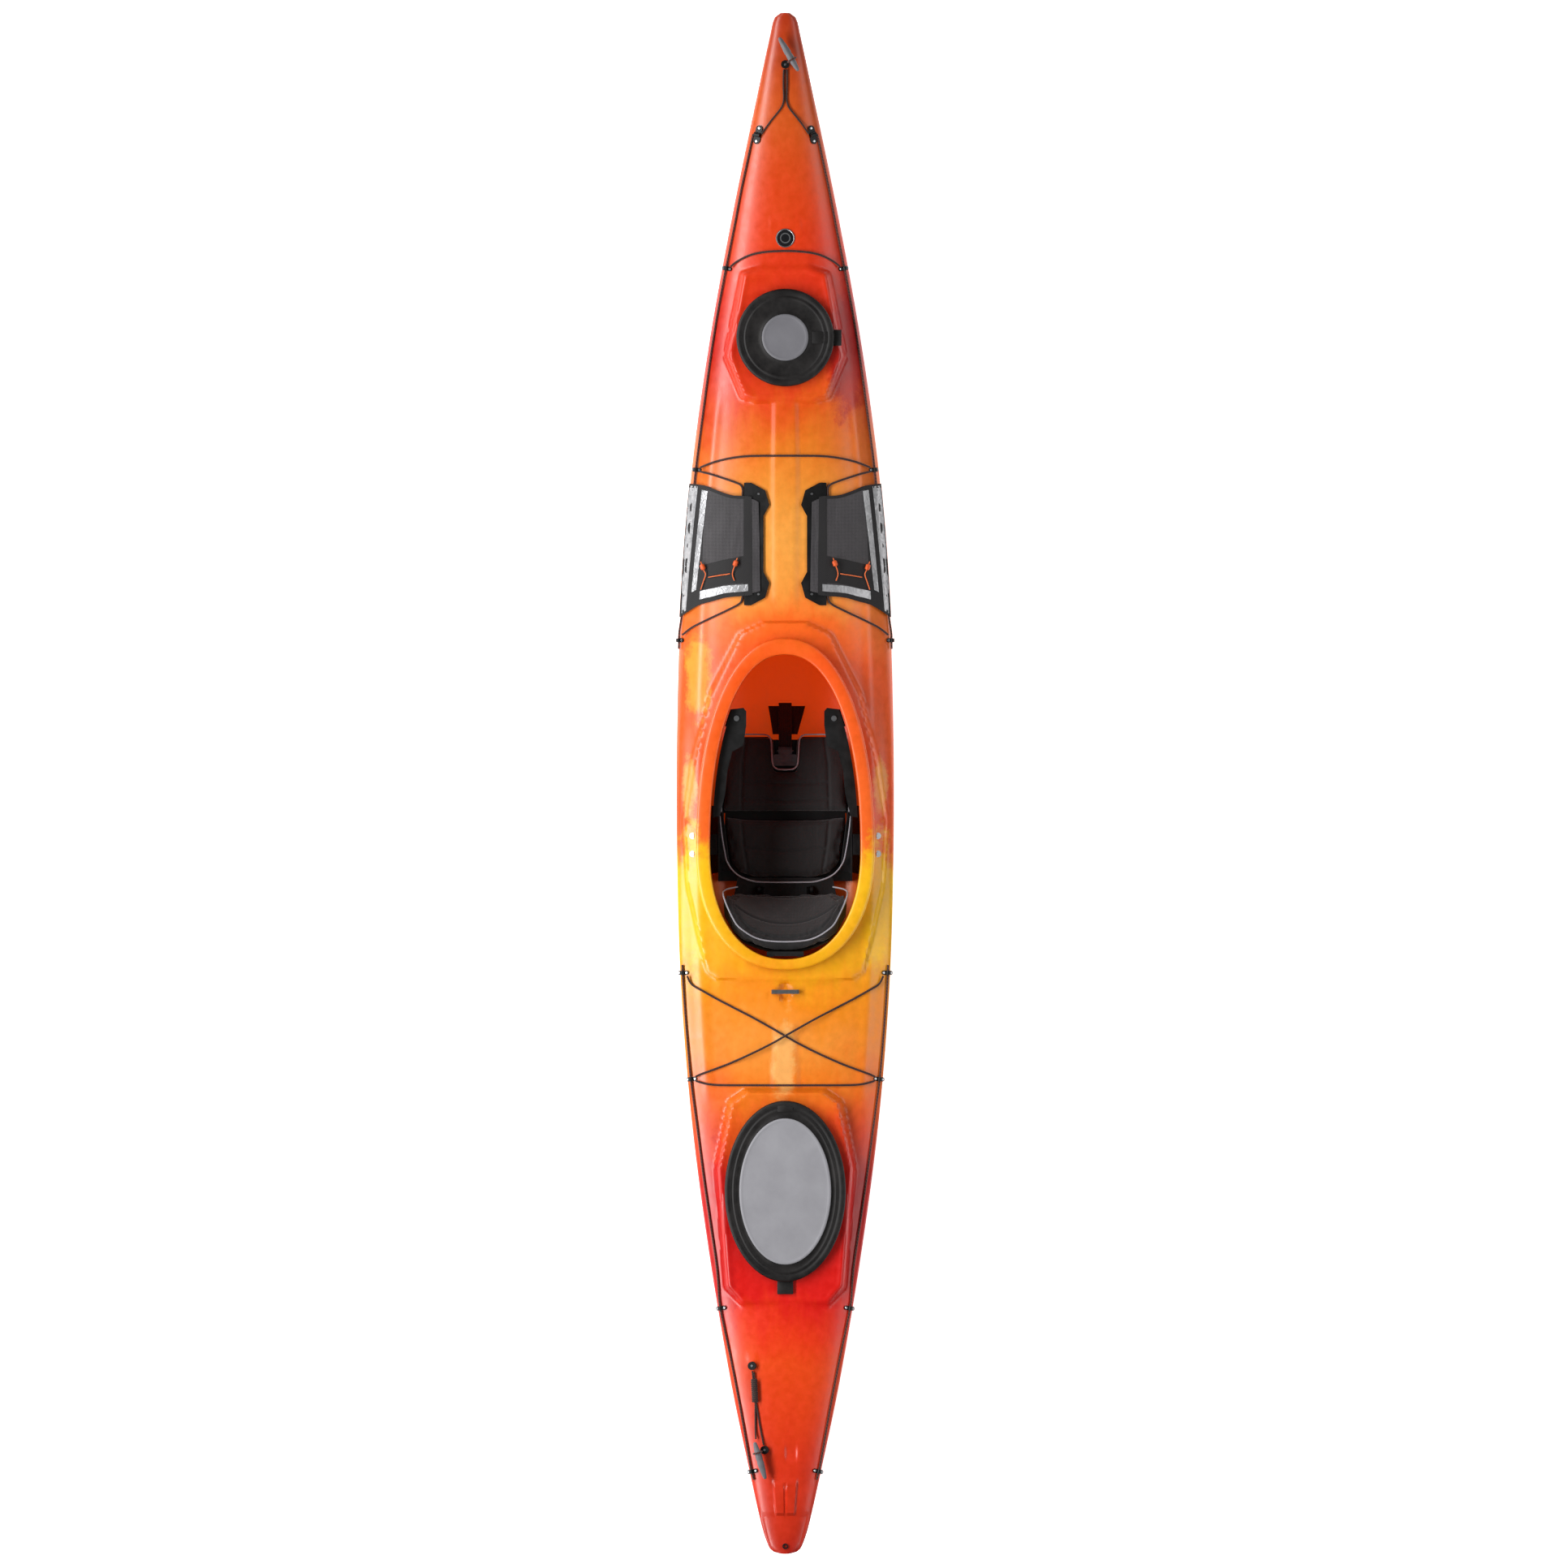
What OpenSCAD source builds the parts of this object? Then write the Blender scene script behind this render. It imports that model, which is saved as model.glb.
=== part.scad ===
// Day-touring sit-inside kayak in moulded polyethylene.
// X runs to the bow, Y to port and Z up. The origin is under the keel, amidships.

/* [Hull] */
// Overall length
boat_len = 4420; // [4000:10:5320]
// Greatest beam
boat_beam = 624; // [560:2:750]
// Height of the parting line amidships
sheer_mid = 245; // [225:1:295]
// Extra height of the parting line at the bow
bow_rise = 150; // [120:1:180]
// Extra height of the parting line at the stern
stern_rise = 90; // [70:1:110]
// Rocker: height of the keel line near the ends
rocker = 45; // [30:1:60]
// Greatest crown of the deck above the parting line
deck_crown = 95; // [80:1:115]
// Wall of the moulding
wall = 5; // [4:0.5:6]

/* [Cockpit] */
// Widest place of the cockpit opening, measured from amidships
cockpit_x = -190; // [-230:1:-160]
// Opening from its widest place to its front
cockpit_front = 562; // [500:1:600]
// Opening from its widest place to its rear
cockpit_rear = 313; // [300:1:340]
// Half width of the opening
cockpit_half = 216; // [180:1:228]
// Width of the coaming lip
lip_w = 41; // [34:1:48]
// Height of the coaming above the foredeck
coaming_front_h = 37; // [32:1:44]
// Height of the coaming above the rear deck
coaming_rear_h = 30; // [26:1:36]

/* [Hatches] */
// Outer diameter of the round bow lid
bow_lid_d = 280; // [240:1:336]
// Length of the oval stern lid
stern_lid_len = 520; // [440:1:560]
// Width of the oval stern lid
stern_lid_w = 348; // [300:1:356]
// Height of a hatch rim above its surround
rim_h = 20; // [16:1:26]
// Thickness of a lid's rubber
lid_wall = 4; // [3:0.5:6]

/* [Outfitting] */
// Length of the seat from the leg lifter's edge to the back
seat_len = 425; // [390:1:460]
// Half width of the seat cushion
seat_half = 186; // [160:1:196]
// Thickness of the seat foam
foam = 38; // [30:1:46]
// Height of the backrest, measured along it
back_h = 272; // [240:1:290]
// Length of a foot brace rail
rail_len = 380; // [320:1:420]

/* [Rigging] */
// Diameter of the perimeter line
line_d = 6; // [5:0.5:7]
// Diameter of the shock cord
bungee_d = 6; // [5:0.5:7]
// Diameter of the cords on the carrying toggles
lanyard_d = 5; // [4:0.5:6]
// Height of a deck fitting
fitting_h = 15; // [13:1:18]
// Bore of the rudder pin sleeve
pin_bore_d = 9; // [8:0.5:11]

/* [Hidden] */

$fn = 48;
half_len = boat_len / 2;
half_beam = boat_beam / 2;
kx = boat_len / 4420;           // deck gear keeps its place along the boat
ky = boat_beam / 624;           // and across it
kc = cockpit_half / 216;        // the outfitting keeps its place inside the coaming
gap = 0.4;                      // clearance between pieces that only meet
tip_solid = 70;                 // solid length of each moulded end
tip_depth = 34;                 // depth of the hull below the parting line at the ends
STATIONS = 20;                  // stations from amidships to each end

// Half breadth as a share of half the beam, along the boat from stern to bow
PLAN = [
    [-1, 0.05], [-0.997, 0.115], [-0.99, 0.155], [-0.965, 0.215], [-0.9, 0.32], [-0.775, 0.506],
    [-0.606, 0.708], [-0.437, 0.865], [-0.267, 0.962], [-0.1, 1], [0.07, 1], [0.239, 0.962],
    [0.408, 0.865], [0.577, 0.699], [0.747, 0.478], [0.915, 0.228], [0.975, 0.135],
    [0.994, 0.1], [1, 0.048]
];
// Crown of the deck as a share of deck_crown
CROWN = [
    [-1, 0.15], [-0.86, 0.3], [-0.53, 0.46], [-0.25, 0.38], [0, 0.62], [0.19, 1],
    [0.41, 0.93], [0.58, 0.74], [0.815, 0.45], [0.95, 0.24], [1, 0.15]
];
// Chines of the hull section, as shares of half breadth and of depth, amidships and at the ends
SECTION_MID = [[0, 0], [0.2, 0], [0.62, 0.13], [0.88, 0.4], [0.975, 0.75], [1, 1]];
SECTION_END = [[0, 0], [0.12, 0.02], [0.4, 0.3], [0.65, 0.55], [0.86, 0.8], [1, 1]];
DECK_STEPS = 8;                 // steps from the gunwale to the middle of the deck
SIDE_STEPS = 2;                 // steps between two chines

// ---- curves -------------------------------------------------------------------------------

function mix(a, b, t) = a * (1 - t) + b * t;
function span(table, u, i = 0) = (i >= len(table) - 2 || u < table[i + 1][0]) ? i : span(table, u, i + 1);
function slope(table, i) = let (a = max(i - 1, 0), b = min(i + 1, len(table) - 1))
    (table[b][1] - table[a][1]) / (table[b][0] - table[a][0]);
function curve(table, u) = let (
    i = span(table, u), w = table[i + 1][0] - table[i][0], s = (u - table[i][0]) / w)
    (2 * pow(s, 3) - 3 * s * s + 1) * table[i][1] + (pow(s, 3) - 2 * s * s + s) * w * slope(table, i)
    + (3 * s * s - 2 * pow(s, 3)) * table[i + 1][1] + (pow(s, 3) - s * s) * w * slope(table, i + 1);

function half_breadth(x) = half_beam * curve(PLAN, x / half_len);
function rise(x) = x > 0 ? bow_rise : stern_rise;
function sheer(x) = sheer_mid + rise(x) * pow(abs(x) / half_len, 2.2);
function stem(x) = sheer_mid + rise(x) - tip_depth - rocker;
function keel(x) = let (u = abs(x) / half_len) rocker * pow(u, 3) + stem(x) * pow(u, x > 0 ? 12 : 16);
function crown(x) = deck_crown * curve(CROWN, x / half_len);
function deck_z(x, y) = let (t = min(abs(y) / half_breadth(x), 1))
    sheer(x) + crown(x) * pow(1 - pow(t, 2.4), 0.62);
function deck_dx(x, y) = (deck_z(x + 2, y) - deck_z(x - 2, y)) / 4;
function deck_dy(x, y) = (deck_z(x, y + 2) - deck_z(x, y - 2)) / 4;

// Chine points of the hull section at x, blended from amidships to the ends
function chines(x) = let (w = pow(abs(x) / half_len, 1.5))
    [for (i = [0 : 5]) mix(SECTION_MID[i], SECTION_END[i], w)];
// Half section from the gunwale to the keel, inset by the wall
function hull_half(x, inset) = let (c = chines(x), b = half_breadth(x) - inset,
    z0 = keel(x) + inset, z1 = sheer(x))
    [for (i = [4 : -1 : 0], k = [0 : SIDE_STEPS - 1]) let (
        s = 1 - k / SIDE_STEPS, y = mix(c[i][0], c[i + 1][0], s), h = mix(c[i][1], c[i + 1][1], s))
        [b * y, mix(z0, z1, h)]];
// Half section from the gunwale to the middle of the deck
function deck_half(x, inset) = let (b = half_breadth(x) - inset)
    [for (j = [DECK_STEPS : -1 : 1]) let (t = sin(90 * j / DECK_STEPS))
        [b * t, sheer(x) + (crown(x) - inset) * pow(1 - pow(t, 2.4), 0.62)]];
// Inner half width of the hull at a height
function inside_half(x, z) = let (c = chines(x), h = (z - keel(x) - wall) / (sheer(x) - keel(x) - wall))
    (half_breadth(x) - wall) * lookup(h, [for (p = c) [p[1], p[0]]]);

function starboard(points) = [for (i = [len(points) - 1 : -1 : 0]) [-points[i][0], points[i][1]]];
function hull_ring(x, inset, top) = let (h = hull_half(x, inset))
    concat(top > 0 ? [[-h[0][0], h[0][1] + top], [h[0][0], h[0][1] + top]] : [],
        h, [[0, keel(x) + inset]], starboard(h));
function deck_ring(x, inset, drop) = let (d = deck_half(x, inset), n = len(d) - 1)
    concat(drop > 0 ? [[d[0][0], d[0][1] - drop], [-d[0][0], d[0][1] - drop]] : [],
        [for (i = [0 : n]) [-d[i][0], d[i][1]]], [[0, sheer(x) + crown(x) - inset]],
        [for (i = [n : -1 : 0]) d[i]]);

// A skin through rings of points in planes across the boat
module loft(xs, rings) {
    n = len(rings[0]);
    m = len(rings);
    polyhedron(
        points = [for (i = [0 : m - 1], p = rings[i]) [xs[i], p[0], p[1]]],
        faces = concat(
            [[for (j = [n - 1 : -1 : 0]) j]],
            [[for (j = [0 : n - 1]) (m - 1) * n + j]],
            [for (i = [0 : m - 2], j = [0 : n - 1]) let (k = (j + 1) % n) [i * n + j, i * n + k, (i + 1) * n + j]],
            [for (i = [0 : m - 2], j = [0 : n - 1]) let (k = (j + 1) % n)
                [i * n + k, (i + 1) * n + k, (i + 1) * n + j]]),
        convexity = 6);
}
function stations(reach) = [for (i = [-STATIONS : STATIONS]) reach * sin(90 * i / STATIONS)];

// A round tube through a list of points
function unit(v) = v / norm(v);
module tube(points, d, sides = 8) {
    m = len(points);
    tangents = [for (i = [0 : m - 1]) unit(points[min(i + 1, m - 1)] - points[max(i - 1, 0)])];
    rings = [for (i = [0 : m - 1]) let (s = unit(cross(tangents[i], [0, 0.001, 1])), u = cross(s, tangents[i]))
        for (k = [0 : sides - 1]) points[i] + d / 2 * (cos(360 * k / sides) * s + sin(360 * k / sides) * u)];
    polyhedron(
        points = rings,
        faces = concat(
            [[for (j = [sides - 1 : -1 : 0]) j]],
            [[for (j = [0 : sides - 1]) (m - 1) * sides + j]],
            [for (i = [0 : m - 2], j = [0 : sides - 1]) let (k = (j + 1) % sides)
                [i * sides + j, i * sides + k, (i + 1) * sides + j]],
            [for (i = [0 : m - 2], j = [0 : sides - 1]) let (k = (j + 1) % sides)
                [i * sides + k, (i + 1) * sides + k, (i + 1) * sides + j]]),
        convexity = 8);
}
// A point of a cord that lies on the deck: place, and lift of the cord's underside
function lying(p, d) = let (x = p[0] * kx, y = p[1] * ky)
    [x, y, deck_z(x, y)] + (p[2] + d / 2) * unit([-deck_dx(x, y), -deck_dy(x, y), 1]);
module deck_cord(route, d) { tube([for (p = route) lying(p, d)], d); }

module both_sides() {
    children();
    mirror([0, 1, 0]) children();
}
// Stands a piece square on the deck
module on_deck(x, y, yaw = 0) {
    translate([x, y, deck_z(x, y)])
        rotate([atan(deck_dy(x, y)), -atan(deck_dx(x, y)), 0]) rotate([0, 0, yaw]) children();
}
module rounded_bar(length, width, height) {
    linear_extrude(height) rounded_plan(length, width, width / 2 - 0.01);
}
module rounded_plan(length, width, r) {
    offset(r, $fn = 24) square([length - 2 * r, width - 2 * r], center = true);
}

// ---- cockpit ------------------------------------------------------------------------------

// Egg outline of the cockpit at an angle, grown at the front, side and rear
function egg(a, front, side, rear, n = 2.2) = let (c = cos(a), s = sin(a))
    [cockpit_x + sign(c) * pow(abs(c), 2 / n) * (c > 0 ? cockpit_front + front : cockpit_rear + rear),
     sign(s) * pow(abs(s), 2 / n) * (cockpit_half + side)];
EGG_STEPS = 44;
function egg_angle(i) = 360 * i / EGG_STEPS;
lip_front = lip_w + 6;
lip_rear = lip_w - 10;
coaming_x1 = cockpit_x + cockpit_front + lip_front;
coaming_x0 = cockpit_x - cockpit_rear - lip_rear;
coaming_z1 = deck_z(coaming_x1, 0) + coaming_front_h;
coaming_z0 = deck_z(coaming_x0, 0) + coaming_rear_h;
coaming_tilt = atan((coaming_z1 - coaming_z0) / (coaming_x1 - coaming_x0));
function coaming_z(x) = mix(coaming_z0, coaming_z1, (x - coaming_x0) / (coaming_x1 - coaming_x0));

// Cross-section of the coaming: share of the lip's width, height against the top, and whether
// the point is at the foot of the wall, in the deck
lip_t = wall;
COAMING = [[0, -2, 0], [0.04, 0, 0], [0.93, 0, 0], [1, -3, 0], [1, -11, 0], [0.88, -11, 0],
    [0.86, -lip_t, 0], [0.13, -lip_t, 0], [0.13, 0, 1], [0, 0, 1]];
module coaming() {
    n = len(COAMING);
    points = [for (i = [0 : EGG_STEPS - 1], c = COAMING) let (
        a = egg_angle(i), p = egg(a, c[0] * lip_front, c[0] * lip_w, c[0] * lip_rear))
        [p[0], p[1], c[2] == 1 ? deck_z(p[0], p[1]) - wall - 1 : coaming_z(p[0]) + c[1]]];
    polyhedron(points = points, faces = [for (i = [0 : EGG_STEPS - 1], j = [0 : n - 1]) let (
        k = (j + 1) % n, q = (i + 1) % EGG_STEPS)
        each [[i * n + j, q * n + j, i * n + k], [i * n + k, q * n + j, q * n + k]]], convexity = 8);
}
// Raised moulding around the coaming, from the deck up to the coaming's wall
apron_h = 14;
module apron() {
    points = [for (i = [0 : EGG_STEPS - 1]) let (
        a = egg_angle(i), o = egg(a, 94, 74, 61, 2.5), yo = min(abs(o[1]), half_breadth(o[0]) - 20) * sign(o[1]),
        w = egg(a, 0.5 * lip_front, 0.5 * lip_w, 0.5 * lip_rear), v = egg(a, 2, 2, 2))
        each [[o[0], yo, deck_z(o[0], yo) - 2], [w[0], w[1], deck_z(w[0], w[1]) + apron_h],
            [v[0], v[1], deck_z(v[0], v[1]) + apron_h], [v[0], v[1], deck_z(v[0], v[1]) - 3]]];
    polyhedron(points = points, faces = [for (i = [0 : EGG_STEPS - 1], j = [0 : 3]) let (
        k = (j + 1) % 4, q = (i + 1) % EGG_STEPS)
        each [[i * 4 + j, i * 4 + k, q * 4 + j], [i * 4 + k, q * 4 + k, q * 4 + j]]], convexity = 8);
}
module egg_prism(grow, z0, z1) {
    translate([0, 0, z0]) linear_extrude(z1 - z0)
        polygon([for (i = [0 : EGG_STEPS - 1]) egg(egg_angle(i), grow, grow, grow)]);
}

// ---- hatches ------------------------------------------------------------------------------

bow_hatch_x = 1281 * kx;
stern_hatch_x = -1169 * kx;
lid_r = bow_lid_d / 2;
rim_wall = 5;
// The lid grips the rim from outside
rim_r = lid_r - 2 * lid_wall - gap;
stern_a = stern_lid_len / 2;
stern_b = stern_lid_w / 2;
rim_a = stern_a - 2 * lid_wall - gap;
rim_b = stern_b - 2 * lid_wall - gap;
// Surrounds are flat and stand above the deck they sit in
BOW_SURROUND = [[202, 66], [182, 118], [-53, 163], [-166, 119], [-177, 84]];
STERN_SURROUND = [[283, 110], [253, 154], [66, 192], [-274, 165], [-321, 122]];
function outline(half) = concat(half, [for (i = [len(half) - 1 : -1 : 0]) [half[i][0], -half[i][1]]]);
bow_flat_z = max(deck_z(bow_hatch_x + 202, 0), deck_z(bow_hatch_x - 177, 0)) + 3;
stern_flat_z = max(deck_z(stern_hatch_x + 283, 0), deck_z(stern_hatch_x - 321, 0)) + 3;

module surround(x, flat_z, half, inset = 0) {
    low = min(sheer(x), flat_z) - 10;
    translate([x, 0, low]) linear_extrude(flat_z - inset - low) offset(delta = -inset) polygon(outline(half));
}
module oval(a, b, height) {
    linear_extrude(height) polygon([for (i = [0 : 71]) [a * cos(5 * i), b * sin(5 * i)]]);
}
module oval_ring(a, b, w, height) {
    linear_extrude(height) difference() {
        polygon([for (i = [0 : 71]) [a * cos(5 * i), b * sin(5 * i)]]);
        polygon([for (i = [0 : 71]) [(a - w) * cos(5 * i), (b - w) * sin(5 * i)]]);
    }
}

// ---- shells -------------------------------------------------------------------------------

pin_x = -(half_len - 22);
sleeve_r = pin_bore_d / 2 + 3.5;
sleeve_len = 30;
sleeve_top = deck_z(pin_x, 0) + 1.5;
module sleeve_hole() { translate([pin_x, 0, sleeve_top - sleeve_len]) cylinder(r = sleeve_r + 0.1, h = 60); }

inside = stations(half_len - tip_solid);
outside = stations(half_len);

module hull_shell() {
    color("orangered") resize([0, 0, 0]) difference() {
        loft(outside, [for (x = outside) hull_ring(x, 0, 0)]);
        loft(inside, [for (x = inside) hull_ring(x, wall, 40)]);
        sleeve_hole();
    }
}
module deck_shell() {
    color("orangered") resize([0, 0, 0]) difference() {
        union() {
            difference() {
                union() {
                    loft(outside, [for (x = outside) deck_ring(x, 0, 0)]);
                    apron();
                }
                egg_prism(wall / 2, 100, 600);
            }
            surround(bow_hatch_x, bow_flat_z, BOW_SURROUND);
            surround(stern_hatch_x, stern_flat_z, STERN_SURROUND);
            coaming();
        }
        loft(inside, [for (x = inside) deck_ring(x, wall, 60)]);
        surround(bow_hatch_x, bow_flat_z, BOW_SURROUND, wall);
        surround(stern_hatch_x, stern_flat_z, STERN_SURROUND, wall);
        translate([bow_hatch_x, 0, 0]) cylinder(r = rim_r + 0.2, h = 600, $fn = 72);
        translate([stern_hatch_x, 0, 0]) oval(rim_a + 0.2, rim_b + 0.2, 600);
        sleeve_hole();
        for (dx = [-26, 26], s = [-1, 1])
            on_deck(seat_bolt_x + dx, s * seat_bolt_y) translate([0, 0, -20]) cylinder(r = 3.2, h = 40);
    }
}

bulkhead_t = 25;
module bulkhead(x, thinner_end) {
    low = hull_half(thinner_end, wall + 2);
    top = deck_half(thinner_end, wall + 2);
    half = concat([[0, keel(thinner_end) + wall + 2]], [for (i = [len(low) - 1 : -1 : 0]) low[i]],
        [for (i = [1 : len(top) - 1]) top[i]], [[0, sheer(thinner_end) + crown(thinner_end) - wall - 2]]);
    translate([x, 0, 0]) rotate([90, 0, 90]) linear_extrude(bulkhead_t)
        polygon(concat(half, [for (i = [len(half) - 2 : -1 : 1]) [-half[i][0], half[i][1]]]));
}
module bow_bulkhead() { color("dimgray") bulkhead(1010 * kx, 1010 * kx + bulkhead_t); }
module stern_bulkhead() { color("dimgray") bulkhead(-650 * kx - bulkhead_t, -650 * kx - bulkhead_t); }

// ---- hatch rims and lids ------------------------------------------------------------------

module bow_hatch_rim() {
    color("black") translate([bow_hatch_x, 0, bow_flat_z]) rotate_extrude($fn = 96) polygon([
        [rim_r - rim_wall, -14], [rim_r, -14], [rim_r, rim_h - 6], [rim_r + 2, rim_h - 4],
        [rim_r + 2, rim_h - 1], [rim_r + 1, rim_h], [rim_r - rim_wall, rim_h]]);
}
module stern_hatch_rim() {
    color("black") translate([stern_hatch_x, 0, stern_flat_z - 14]) {
        oval_ring(rim_a, rim_b, rim_wall, 14 + rim_h - 5);
        translate([0, 0, 14 + rim_h - 5]) oval_ring(rim_a + 2, rim_b + 2, rim_wall + 2, 5);
    }
}
lid_top = rim_h + 0.3 + lid_wall;
panel_t = 4;
module bow_hatch_lid() {
    color("black") translate([bow_hatch_x, 0, bow_flat_z]) {
        rotate_extrude($fn = 96) polygon([
            [0, lid_top - lid_wall], [rim_r + 2 + gap, lid_top - lid_wall], [rim_r + 2 + gap, 3],
            [lid_r - 1, 3], [lid_r, 5], [lid_r, lid_top - 4], [lid_r - 4, lid_top],
            [lid_r - 18, lid_top], [lid_r - 22, lid_top - 2], [74, lid_top - 2], [68, lid_top], [0, lid_top]]);
        translate([0, -lid_r - 8, 3]) linear_extrude(6) rounded_plan(46, 26, 8);
    }
}
module bow_lid_panel() {
    color("silver") translate([bow_hatch_x, 0, bow_flat_z + lid_top]) rotate_extrude($fn = 72)
        polygon([[0, 0], [67, 0], [67, 1], [65, 2.5], [0, panel_t]]);
}
panel_a = stern_a - 50;
panel_b = stern_b - 42;
module stern_hatch_lid() {
    color("black") translate([stern_hatch_x, 0, stern_flat_z]) {
        translate([0, 0, 3]) oval_ring(stern_a, stern_b, 2 * lid_wall - 2, lid_top - lid_wall - 3);
        translate([0, 0, lid_top - lid_wall]) oval(stern_a, stern_b, lid_wall - 1);
        translate([0, 0, lid_top - 1]) oval(stern_a - 3, stern_b - 3, 1);
        translate([-stern_a - 16, 0, 3]) linear_extrude(6) rounded_plan(40, 46, 8);
    }
}
module stern_lid_panel() {
    color("silver") translate([stern_hatch_x, 0, stern_flat_z + lid_top]) {
        oval(panel_a, panel_b, 2);
        translate([0, 0, 2]) oval(panel_a - 4, panel_b - 4, 2);
    }
}

// ---- seat ---------------------------------------------------------------------------------

seat_front = 144;
seat_seam = -90;
seat_back = seat_front - seat_len;
pan_z = 54;
pan_t = 5;
pan_side_h = 56;
plate_t = 4;
seat_bolt_x = -174;
seat_bolt_y = 264 * ky;
cushion_top = pan_z + plate_t + gap + foam;
function floor_z(x) = keel(x) + wall;

module seat_pan() {
    color("dimgray") {
        translate([0, 0, pan_z - pan_t]) linear_extrude(pan_t)
            polygon([[seat_front - 14, -seat_half + 20], [seat_front - 14, seat_half - 20],
                [seat_back, seat_half - 4], [seat_back, -seat_half + 4]]);
        for (s = [-1, 1]) {
            translate([seat_back, s * 46 - 4, floor_z(seat_front) + gap])
                cube([seat_len - 30, 8, pan_z - pan_t - floor_z(seat_front) - gap]);
            translate([seat_back, s * (seat_half + 6) - 2.5, pan_z - pan_t])
                cube([seat_len - 130, 5, pan_side_h]);
            translate([seat_back, min(s * (seat_half - 8), s * (seat_half + 6)), pan_z - pan_t])
                cube([seat_len - 130, 14, pan_t]);
            back_ear(s);
        }
    }
}
// Ears at the rear of the pan hold the backrest's pivots
back_x = -306;
back_z = 78;
pivot_r = 5;
ear_y = 76;
module back_ear(s) {
    difference() {
        union() {
            translate([back_x - 12, s * ear_y - 4, pan_z - pan_t]) cube([seat_back - back_x + 22, 8, pan_t]);
            translate([back_x, s * ear_y - 4, back_z]) rotate([-90, 0, 0]) cylinder(r = 12, h = 8);
            translate([back_x - 12, s * ear_y - 4, pan_z - 1]) cube([24, 8, back_z - pan_z]);
        }
        translate([back_x, s * ear_y - 10, back_z]) rotate([-90, 0, 0]) cylinder(r = pivot_r + 0.06, h = 20);
    }
}
module seat_cushion() {
    color("black") translate([0, 0, pan_z + gap]) linear_extrude(cushion_top - pan_z - gap) polygon([
        [seat_seam - gap, -seat_half], [seat_seam - gap, seat_half], [-228, seat_half - 18],
        [-262, seat_half - 46], [seat_back, 92], [seat_back, -92], [-262, -seat_half + 46],
        [-228, -seat_half + 18]]);
}
LIFTER = [[seat_seam + gap, seat_half], [60, seat_half - 6], [126, seat_half - 26], [seat_front, 128],
    [seat_front, 44], [120, 40], [50, 36], [43, 26]];
module leg_lifter_plate() {
    color("dimgray") translate([0, 0, pan_z + gap]) linear_extrude(plate_t)
        offset(delta = -6) polygon(outline(LIFTER));
}
module leg_lifter_pad() {
    color("black") translate([0, 0, pan_z + gap + plate_t]) linear_extrude(foam) polygon(outline(LIFTER));
}
strap_t = 3;
module leg_lifter_strap() {
    color("black") translate([0, 20, 0]) rotate([90, 0, 0]) linear_extrude(40) polygon([
        [150, pan_z + gap + plate_t + 2], [238, 22], [238, 22 - strap_t], [236, 22 - strap_t],
        [148, pan_z + gap + plate_t - 1], [60, pan_z + gap + plate_t - 1], [60, pan_z + gap + plate_t + 2]]);
}
buckle_z = pan_z + gap + plate_t + 2;
buckle_x = 97;
module buckle_base() {
    color("gray") translate([0, 0, buckle_z]) difference() {
        union() {
            translate([buckle_x - 35, -20, 0]) cube([46, 40, 4]);
            for (s = [-1, 1]) translate([buckle_x - 7, s * 18 - 2, 0]) cube([14, 4, 16]);
        }
        translate([buckle_x, -30, 11]) rotate([-90, 0, 0]) cylinder(r = 2.55, h = 60);
    }
}
// The lever hinges at its fore end and spreads behind the lugs into a paddle
module buckle_lever() {
    color("gray") translate([buckle_x, 0, buckle_z + 11]) {
        translate([0, -24, 0]) rotate([-90, 0, 0]) cylinder(r = 2.5, h = 48);
        translate([0, 0, -3]) linear_extrude(6) polygon([
            [4, -15.5], [4, 15.5], [-10, 15.5], [-10, 30], [-14, 34], [-38, 34], [-43, 29],
            [-43, -29], [-38, -34], [-14, -34], [-10, -30], [-10, -15.5]]);
    }
}

// ---- backrest -----------------------------------------------------------------------------

back_tilt = 35;
back_half = cockpit_half - 38 / kc;
back_r = 198;
back_low = 30;
module back_place() { translate([back_x, 0, back_z]) rotate([0, -back_tilt, 0]) children(); }
// A band between two arcs about the same centre, cut to the backrest's outline
module back_band(front, back, margin) {
    intersection() {
        translate([back_r + 6, 0, 0]) difference() {
            cylinder(r = back_r + back, h = back_h, $fn = 72);
            translate([0, 0, -1]) cylinder(r = back_r + front, h = back_h + 2, $fn = 72);
        }
        translate([-80, 0, 0]) rotate([90, 0, 90]) linear_extrude(200) offset(delta = -margin) polygon([
            [-back_half + 52, back_h - 5], [-60, back_h], [60, back_h], [back_half - 52, back_h - 5],
            [back_half - 24, back_h - 30], [back_half, back_h - 76], [back_half - 6, 150],
            [back_half - 40, back_low + 44], [60, back_low], [-60, back_low], [-back_half + 40, back_low + 44],
            [-back_half + 6, 150], [-back_half, back_h - 76], [-back_half + 24, back_h - 30]]);
    }
}
module backrest_frame() {
    color("dimgray") back_place() {
        back_band(34 + gap, 40, 8);
        for (s = [-1, 1]) {
            translate([-30, s * (ear_y - 10) - 3.5, -8]) cube([10.6, 7, back_low + 50]);
            translate([-30, s * (ear_y - 10) - 3.5, -8]) cube([36, 7, 16]);
        }
        for (s = [-1, 1]) translate([0, s > 0 ? ear_y - 12 : -ear_y - 6, 0])
            rotate([-90, 0, 0]) cylinder(r = pivot_r, h = 18);
    }
}
module backrest_cushion() { color("black") back_place() back_band(0, 34, 0); }

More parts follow.
